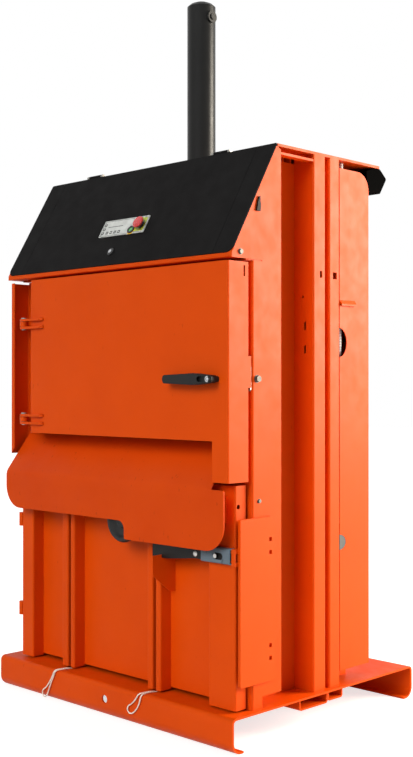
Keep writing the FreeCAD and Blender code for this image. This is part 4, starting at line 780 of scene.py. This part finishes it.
@dataclass(frozen=True)
class ChamberDoor(SubAssembly):
    """The lower door, with its apron, lock bar and hand wheel."""

    finishes: Finishes = (
        (Finish.ORANGE, ("lower_panel", "lower_stiles", "strap_ribs", "apron_brackets", "bar_gusset",
                         "lower_hinge_leaves")),
        (Finish.CHUTE, ("chute_apron",)),
        (Finish.LOCK, ("lock_bar",)),
        (Finish.GREY, ("lock_guide",)),
        (Finish.MOULDED, ("hand_wheel",)),
        (Finish.STEEL, ("spindle_bush", "pinion")),
    )


# ---- twine loops -----------------------------------------------------------------------------
@dataclass(frozen=True)
class TwineLoop:
    """A loop of baling twine that hangs out of a floor slot.

    Its points are in millimetres, with Y from the front of the machine.
    """

    name: str
    node: str
    length: float
    points: tuple[Point, ...]
    diameter: float = 4 * MM
    front_offset: float = 417.0        # from the frame's origin to the front, in millimetres
    rim_steps: int = 3
    steps: int = 10
    order: int = 3

    def build(self, workshop: Workshop) -> None:
        """Args:
            workshop: Where its material comes from.
        """
        places = [Vector((x, y - self.front_offset, z)) * MM for x, y, z in self.points]
        curve = bpy.data.curves.new(self.name, "CURVE")
        curve.dimensions = "3D"
        curve.bevel_depth = self.diameter / 2
        curve.bevel_resolution = self.rim_steps
        curve.resolution_u = self.steps
        curve.use_fill_caps = True
        spline = curve.splines.new("NURBS")
        spline.points.add(len(places) - 1)
        for point, place in zip(spline.points, places):
            point.co = (*place, 1.0)
        spline.order_u = self.order
        spline.use_endpoint_u = True
        made = workshop.piece(self.name, curve, Finish.TWINE, "frame")
        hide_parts(self.node)


LOOPS = (
    TwineLoop("left_twine_loop", "strap_loop_left", 0.3774, (
        (-238, 66, 98), (-238, 44, 104.8), (-240, 20, 105.4), (-246, -5, 104.6), (-256, -5.5, 82),
        (-272, -4.5, 60), (-290, -5, 40), (-310, -5, 28), (-306, -6, 8), (-287, -6, 10),
        (-274, -5, 36), (-262, -6, 62), (-249, -5, 84), (-240, -6, 104.6), (-233, 20, 105.4),
        (-232, 44, 104.8), (-232, 66, 98))),
    TwineLoop("right_twine_loop", "strap_loop_right", 0.3188, (
        (173, 66, 98), (173, 44, 104.8), (171, 20, 105.4), (165, -5, 104.6), (154, -5.5, 88),
        (141, -4.5, 74.5), (127.5, -5, 64.5), (117, -5.5, 59), (114, -6, 44), (130, -6, 36),
        (146, -5, 46), (160, -6, 60), (170, -5, 80), (176.5, -5.5, 104.3), (179, 20, 105.4),
        (179, 44, 104.8), (179, 66, 98))),
)


# ---- control face on the lid -----------------------------------------------------------------
@dataclass(frozen=True)
class LidPlane:
    """The lid's sloping plane: across, up the slope from its lower edge, and out from it."""

    foot: Point = (0.0, -0.400, 1.414)
    rise: float = 0.336
    run: float = 0.197

    def spot(self, x: float, along: float, out: float) -> Vector:
        """Give a point on or above the lid.

        Args:
            x: Distance across, in millimetres.
            along: Distance up the slope, in millimetres.
            out: Height above the lid's underside, in millimetres.

        Returns:
            The point in metres.
        """
        length = math.hypot(self.rise, self.run)
        slope = Vector((0.0, self.run / length, self.rise / length))
        outward = Vector((0.0, -slope.z, slope.y))
        return Vector(self.foot) + Vector((x * MM, 0, 0)) + slope * along * MM + outward * out * MM


@dataclass(frozen=True)
class Round:
    """A round place on the lid: its middle across and up the slope, and its radius."""

    x: float
    along: float
    radius: float

    def rim(self, count: int) -> list[Flat]:
        """Give points on its edge, evenly spaced and counter-clockwise from the right.

        Args:
            count: How many points are wanted.

        Returns:
            The points.
        """
        turns = [2 * math.pi * k / count for k in range(count)]
        return [(self.x + self.radius * math.cos(t), self.along + self.radius * math.sin(t))
                for t in turns]


@dataclass(frozen=True)
class Oblong:
    """An upright rectangle: its left, right, lower and upper edge."""

    left: float
    right: float
    foot: float
    head: float

    def corners(self) -> list[Flat]:
        """Give its four corners, counter-clockwise."""
        return [(self.left, self.foot), (self.right, self.foot), (self.right, self.head),
                (self.left, self.head)]

    def rim_round(self, middle: Round, count: int) -> list[Flat]:
        """Give points on its edge, each in line with one on the rim of a round place inside it.

        Args:
            middle: The round place.
            count: How many points are wanted.

        Returns:
            The points.
        """
        points = []
        for k in range(count):
            turn = 2 * math.pi * k / count
            u, v = math.cos(turn), math.sin(turn)
            side, end = (self.right if u > 0 else self.left), (self.head if v > 0 else self.foot)
            reach = min((side - middle.x) / u if abs(u) > NEARLY_NOTHING else math.inf,
                        (end - middle.along) / v if abs(v) > NEARLY_NOTHING else math.inf)
            points.append((middle.x + u * reach, middle.along + v * reach))
        return points


@dataclass(frozen=True)
class ControlFace:
    """The printed fields, symbols and screws on the control plate, in millimetres."""

    plane: LidPlane = LidPlane()
    plate: Oblong = Oblong(-113.0, 100.0, 115.0, 179.0)
    face: float = 6.0                  # the plate's face above the lid's underside
    film: float = 0.15                 # the print's thickness
    margin: float = 3.0
    line: float = 1.2
    symbol: float = 11.0
    arrow_height: float = 7.0
    arrow_stem: float = 2.0
    arrow_head: float = 5.6
    dot: float = 2.6
    column: Flat = (12.0, 14.0)        # middle of the first symbol, from the plate's lower left
    column_step: float = 16.0
    column_marks: tuple[int, ...] = (1, -1, 1)     # 1 and -1 are arrows up and down the slope
    row: Flat = (34.0, 9.0)            # middle of the first symbol's lower edge, from the same corner
    row_step: float = 19.0
    row_marks: tuple[int, ...] = (1, 0, -1, 0)     # 0 is a dot
    rule: Oblong = Oblong(28.0, 100.0, 36.0, 38.0)
    stop: Round = Round(77.0, 144.0, 13.2)
    stop_field: Oblong = Oblong(52.0, 95.0, 121.0, 173.0)
    start: Round = Round(38.0, 129.0, 14.1)
    start_field: Round = Round(38.0, 129.0, 17.0)
    field_corners: int = 32
    dot_corners: int = 16
    screw_corners: int = 18
    screw_inset: Flat = (6.0, 5.8)
    screw_profile: tuple[Flat, ...] = ((2.4, 0.0), (2.4, 0.5), (1.9, 1.1), (1.1, 1.35), (1.1, 0.5))
    body: str = "hood_lid"

    def flat(self, mesh: bmesh.types.BMesh, outline: Sequence[Flat], lift: float = 0.0) -> None:
        """Add a thin printed shape to a mesh.

        Args:
            mesh: The mesh that takes it.
            outline: Its corners across and up the slope.
            lift: How far its underside stands off the plate.
        """
        low, high = self.face + lift, self.face + lift + self.film
        under = [mesh.verts.new(self.plane.spot(x, s, low)) for x, s in outline]
        over = [mesh.verts.new(self.plane.spot(x, s, high)) for x, s in outline]
        mesh.faces.new(over)
        mesh.faces.new(under[::-1])
        for i in range(len(outline)):
            j = (i + 1) % len(outline)
            mesh.faces.new((under[i], under[j], over[j], over[i]))

    def column_places(self) -> list[Flat]:
        """Give the middles of the left column's symbols."""
        x, foot = self.plate.left + self.column[0], self.plate.foot + self.column[1]
        return [(x, foot + k * self.column_step) for k in range(len(self.column_marks))]

    def row_places(self) -> list[Flat]:
        """Give the middles of the lower row's symbols."""
        x, s = self.plate.left + self.row[0], self.plate.foot + self.row[1] + self.symbol / 2
        return [(x + k * self.row_step, s) for k in range(len(self.row_marks))]

    def arrow(self, x: float, s: float, way: int) -> list[Flat]:
        """Give a plain arrow that points up or down the slope.

        Args:
            x: Its middle across.
            s: Its middle up the slope.
            way: 1 for up and -1 for down.

        Returns:
            Its corners, counter-clockwise.
        """
        half, stem, head = self.arrow_height / 2, self.arrow_stem / 2, self.arrow_head / 2
        corners = [(-stem, -half), (stem, -half), (stem, 0), (head, 0), (0, half), (-head, 0),
                   (-stem, 0)]
        return [(x + u * way, s + v * way) for u, v in corners]

    def border(self) -> bmesh.types.BMesh:
        """Make the dark line round the plate's face.

        Returns:
            Its mesh.
        """
        mesh = bmesh.new()
        left, right = self.plate.left + self.margin, self.plate.right - self.margin
        foot, head = self.plate.foot + self.margin, self.plate.head - self.margin
        low, high = foot + self.line, head - self.line
        for strip in (Oblong(left, right, foot, low), Oblong(left, right, high, head),
                      Oblong(left, left + self.line, low, high),
                      Oblong(right - self.line, right, low, high)):
            self.flat(mesh, strip.corners())
        return mesh

    def symbols(self) -> bmesh.types.BMesh:
        """Make the dark squares of the left column and the lower row, and the rule above the row.

        Returns:
            Their mesh.
        """
        mesh = bmesh.new()
        half = self.symbol / 2
        for x, s in self.column_places() + self.row_places():
            self.flat(mesh, Oblong(x - half, x + half, s - half, s + half).corners())
        x, s = self.plate.left, self.plate.foot
        self.flat(mesh, Oblong(x + self.rule.left, x + self.rule.right, s + self.rule.foot,
                               s + self.rule.head).corners())
        return mesh

    def marks(self) -> bmesh.types.BMesh:
        """Make the light arrows and dots inside the dark squares.

        Returns:
            Their mesh.
        """
        mesh = bmesh.new()
        places = self.column_places() + self.row_places()
        for (x, s), way in zip(places, self.column_marks + self.row_marks):
            shape = self.arrow(x, s, way) if way else Round(x, s, self.dot).rim(self.dot_corners)
            self.flat(mesh, shape, self.film)
        return mesh

    def ring(self, outer: Sequence[Flat], hole: Round) -> bmesh.types.BMesh:
        """Make a printed field with a round hole for a fitting.

        Args:
            outer: Points on the field's edge, each in line with one on the hole's rim.
            hole: The hole.

        Returns:
            The field's mesh.
        """
        mesh = bmesh.new()
        inner = hole.rim(len(outer))
        for i in range(len(outer)):
            j = (i + 1) % len(outer)
            self.flat(mesh, [outer[i], outer[j], inner[j], inner[i]])
        return mesh

    def screw(self, x: float, s: float) -> bmesh.types.BMesh:
        """Make a low domed screw head with a round recess.

        Args:
            x: Its middle across.
            s: Its middle up the slope.

        Returns:
            Its mesh.
        """
        mesh = bmesh.new()
        count = self.screw_corners
        rings = []
        for radius, height in self.screw_profile:
            rim = Round(x, s, radius).rim(count)
            rings.append([mesh.verts.new(self.plane.spot(u, v, self.face + height)) for u, v in rim])
        for lower, upper in zip(rings, rings[1:]):
            for i in range(count):
                j = (i + 1) % count
                mesh.faces.new((lower[i], lower[j], upper[j], upper[i]))
        mesh.faces.new(rings[-1])
        mesh.faces.new(rings[0][::-1])
        return mesh

    def build(self, workshop: Workshop) -> None:
        """Make every printed piece of the control face, and its screws.

        Args:
            workshop: Where the materials come from.
        """
        stop = self.ring(self.stop_field.rim_round(self.stop, self.field_corners), self.stop)
        start = self.ring(self.start_field.rim(self.field_corners), self.start)
        x, inset = self.plate.left + self.screw_inset[0], self.screw_inset[1]
        low, high = self.screw(x, self.plate.foot + inset), self.screw(x, self.plate.head - inset)
        for name, mesh, finish, slot in (
                ("control_border", self.border(), Finish.INK, "black_plastic"),
                ("control_symbols", self.symbols(), Finish.INK, "black_plastic"),
                ("control_marks", self.marks(), Finish.PANEL, "light_paint"),
                ("stop_field", stop, Finish.LIME, "light_paint"),
                ("start_field", start, Finish.YELLOW, "light_paint"),
                ("control_screw_1", low, Finish.STEEL, "bare_steel"),
                ("control_screw_2", high, Finish.STEEL, "bare_steel")):
            workshop.piece(name, mesh_data(name, mesh), finish, self.body)


# ---- studio ----------------------------------------------------------------------------------
@dataclass(frozen=True)
class SoftBox:
    """A square area light that looks at a point of the machine."""

    name: str
    place: Point
    target: Point
    size: float
    power: float
    colour: str

    def build(self) -> None:
        """Add the light to the scene."""
        data = bpy.data.lights.new(self.name, "AREA")
        data.shape = "SQUARE"
        data.size = self.size
        data.energy = self.power
        data.color = linear(self.colour)[:3]
        made = bpy.data.objects.new(self.name, data)
        made.location = self.place
        way = Vector(self.target) - Vector(self.place)
        made.rotation_mode = "QUATERNION"
        made.rotation_quaternion = way.to_track_quat("-Z", "Y")
        bpy.context.scene.collection.objects.link(made)


@dataclass(frozen=True)
class Floor:
    """The wide pale floor that the machine stands on."""

    size: float = 40.0
    drop: float = 0.5 * MM             # keeps it clear of the undersides that stand on it
    finish: PaleBoard = PaleBoard("pale_floor_board", "#D0D0D0", 0.7)

    def build(self) -> None:
        """Lay the floor and leave it out of the machine."""
        half = self.size / 2
        mesh = bmesh.new()
        corners = Oblong(-half, half, -half, half).corners()
        mesh.faces.new([mesh.verts.new((x, y, -self.drop)) for x, y in corners])
        data = mesh_data("studio_floor", mesh)
        made = bpy.data.objects.new("studio_floor", data)
        bpy.context.scene.collection.objects.link(made)
        data.materials.append(self.finish.build())


@dataclass(frozen=True)
class Studio:
    """Camera, lights, background and floor.

    The world is white to the eye. As a light it is dim all round, with one soft bright patch high
    in front of the machine. A softbox behind the machine's right side lights that side.
    """

    camera_place: Point = (2.74838, -2.75687, 1.03914)
    azimuth: float = 44.51295
    pitch: float = 0.30833
    lens: float = 54.588
    sensor: float = 36.0
    clip: Flat = (0.05, 100.0)
    ambient: float = 0.22
    key_way: Point = (0.14, -0.86, 0.48)
    key_level: float = 9.5
    key_edge: float = 0.93             # cosine of the angle at which the patch has faded out
    key_core: float = 0.995            # cosine of the angle within which it is full
    seen_level: float = 1.0
    floor: Floor = Floor()
    lights: tuple[SoftBox, ...] = (
        SoftBox("right_rear_box", (3.5, 3.8, 2.2), (0.5, 0.0, 1.3), 2.6, 640.0, "#FFF4E2"),
    )

    def build(self) -> None:
        """Make the camera, the lights, the world and the floor."""
        scene = bpy.context.scene
        scene.view_settings.view_transform = "Standard"
        self.add_camera(scene)
        for light in self.lights:
            light.build()
        self.add_world(scene)
        self.floor.build()

    def add_camera(self, scene: bpy.types.Scene) -> None:
        """Place the camera where the photograph was taken from.

        Args:
            scene: The scene that uses it.
        """
        data = bpy.data.cameras.new("photo_camera")
        data.lens = self.lens
        data.sensor_width = self.sensor
        data.clip_start, data.clip_end = self.clip
        made = bpy.data.objects.new("photo_camera", data)
        turn, tilt = math.radians(self.azimuth), math.radians(self.pitch)
        way = Vector((-math.sin(turn) * math.cos(tilt), math.cos(turn) * math.cos(tilt), math.sin(tilt)))
        made.location = self.camera_place
        made.rotation_mode = "QUATERNION"
        made.rotation_quaternion = way.to_track_quat("-Z", "Y")
        scene.collection.objects.link(made)
        scene.camera = made

    def add_world(self, scene: bpy.types.Scene) -> None:
        """Make a world that looks white and lights the machine softly from the front and above.

        Args:
            scene: The scene that uses it.
        """
        world = bpy.data.worlds.new("studio_world")
        scene.world = world
        world.use_nodes = True
        graph = Graph(world.node_tree)
        place = graph.add("ShaderNodeTexCoord")
        toward = graph.add("ShaderNodeVectorMath", {1: Vector(self.key_way).normalized()},
                           {0: (place, "Generated")}, operation="DOT_PRODUCT")
        fade = ramp((self.key_edge, self.key_core), (self.ambient, self.key_level))
        key = graph.add("ShaderNodeMapRange", fade, {"Value": (toward, "Value")},
                        interpolation_type="SMOOTHSTEP")
        level = graph.add("ShaderNodeMix", {NUMBER_TWO: self.seen_level},
                          {FACTOR: graph.looked_at(), NUMBER_ONE: (key, "Result")})
        background = graph.add("ShaderNodeBackground", {"Color": WHITE},
                               {"Strength": (level, NUMBER_OUT)})
        graph.add("ShaderNodeOutputWorld", links={"Surface": (background, "Background")})


def main() -> None:
    """Load the frame and build everything that the render shows."""
    logging.basicConfig(level=logging.INFO, format="%(name)s: %(message)s")
    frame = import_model()
    Studio().build()
    workshop = Workshop()
    for loop in LOOPS:
        loop.build(workshop)
    for assembly in (Body(), Press(), ServiceLid(), FeedDoor(), ChamberDoor()):
        assembly.dress(workshop, frame["nodes"])
    ControlFace().build(workshop)
    LOG.info("%d materials made", len(workshop.made))


if __name__ == "__main__":
    main()
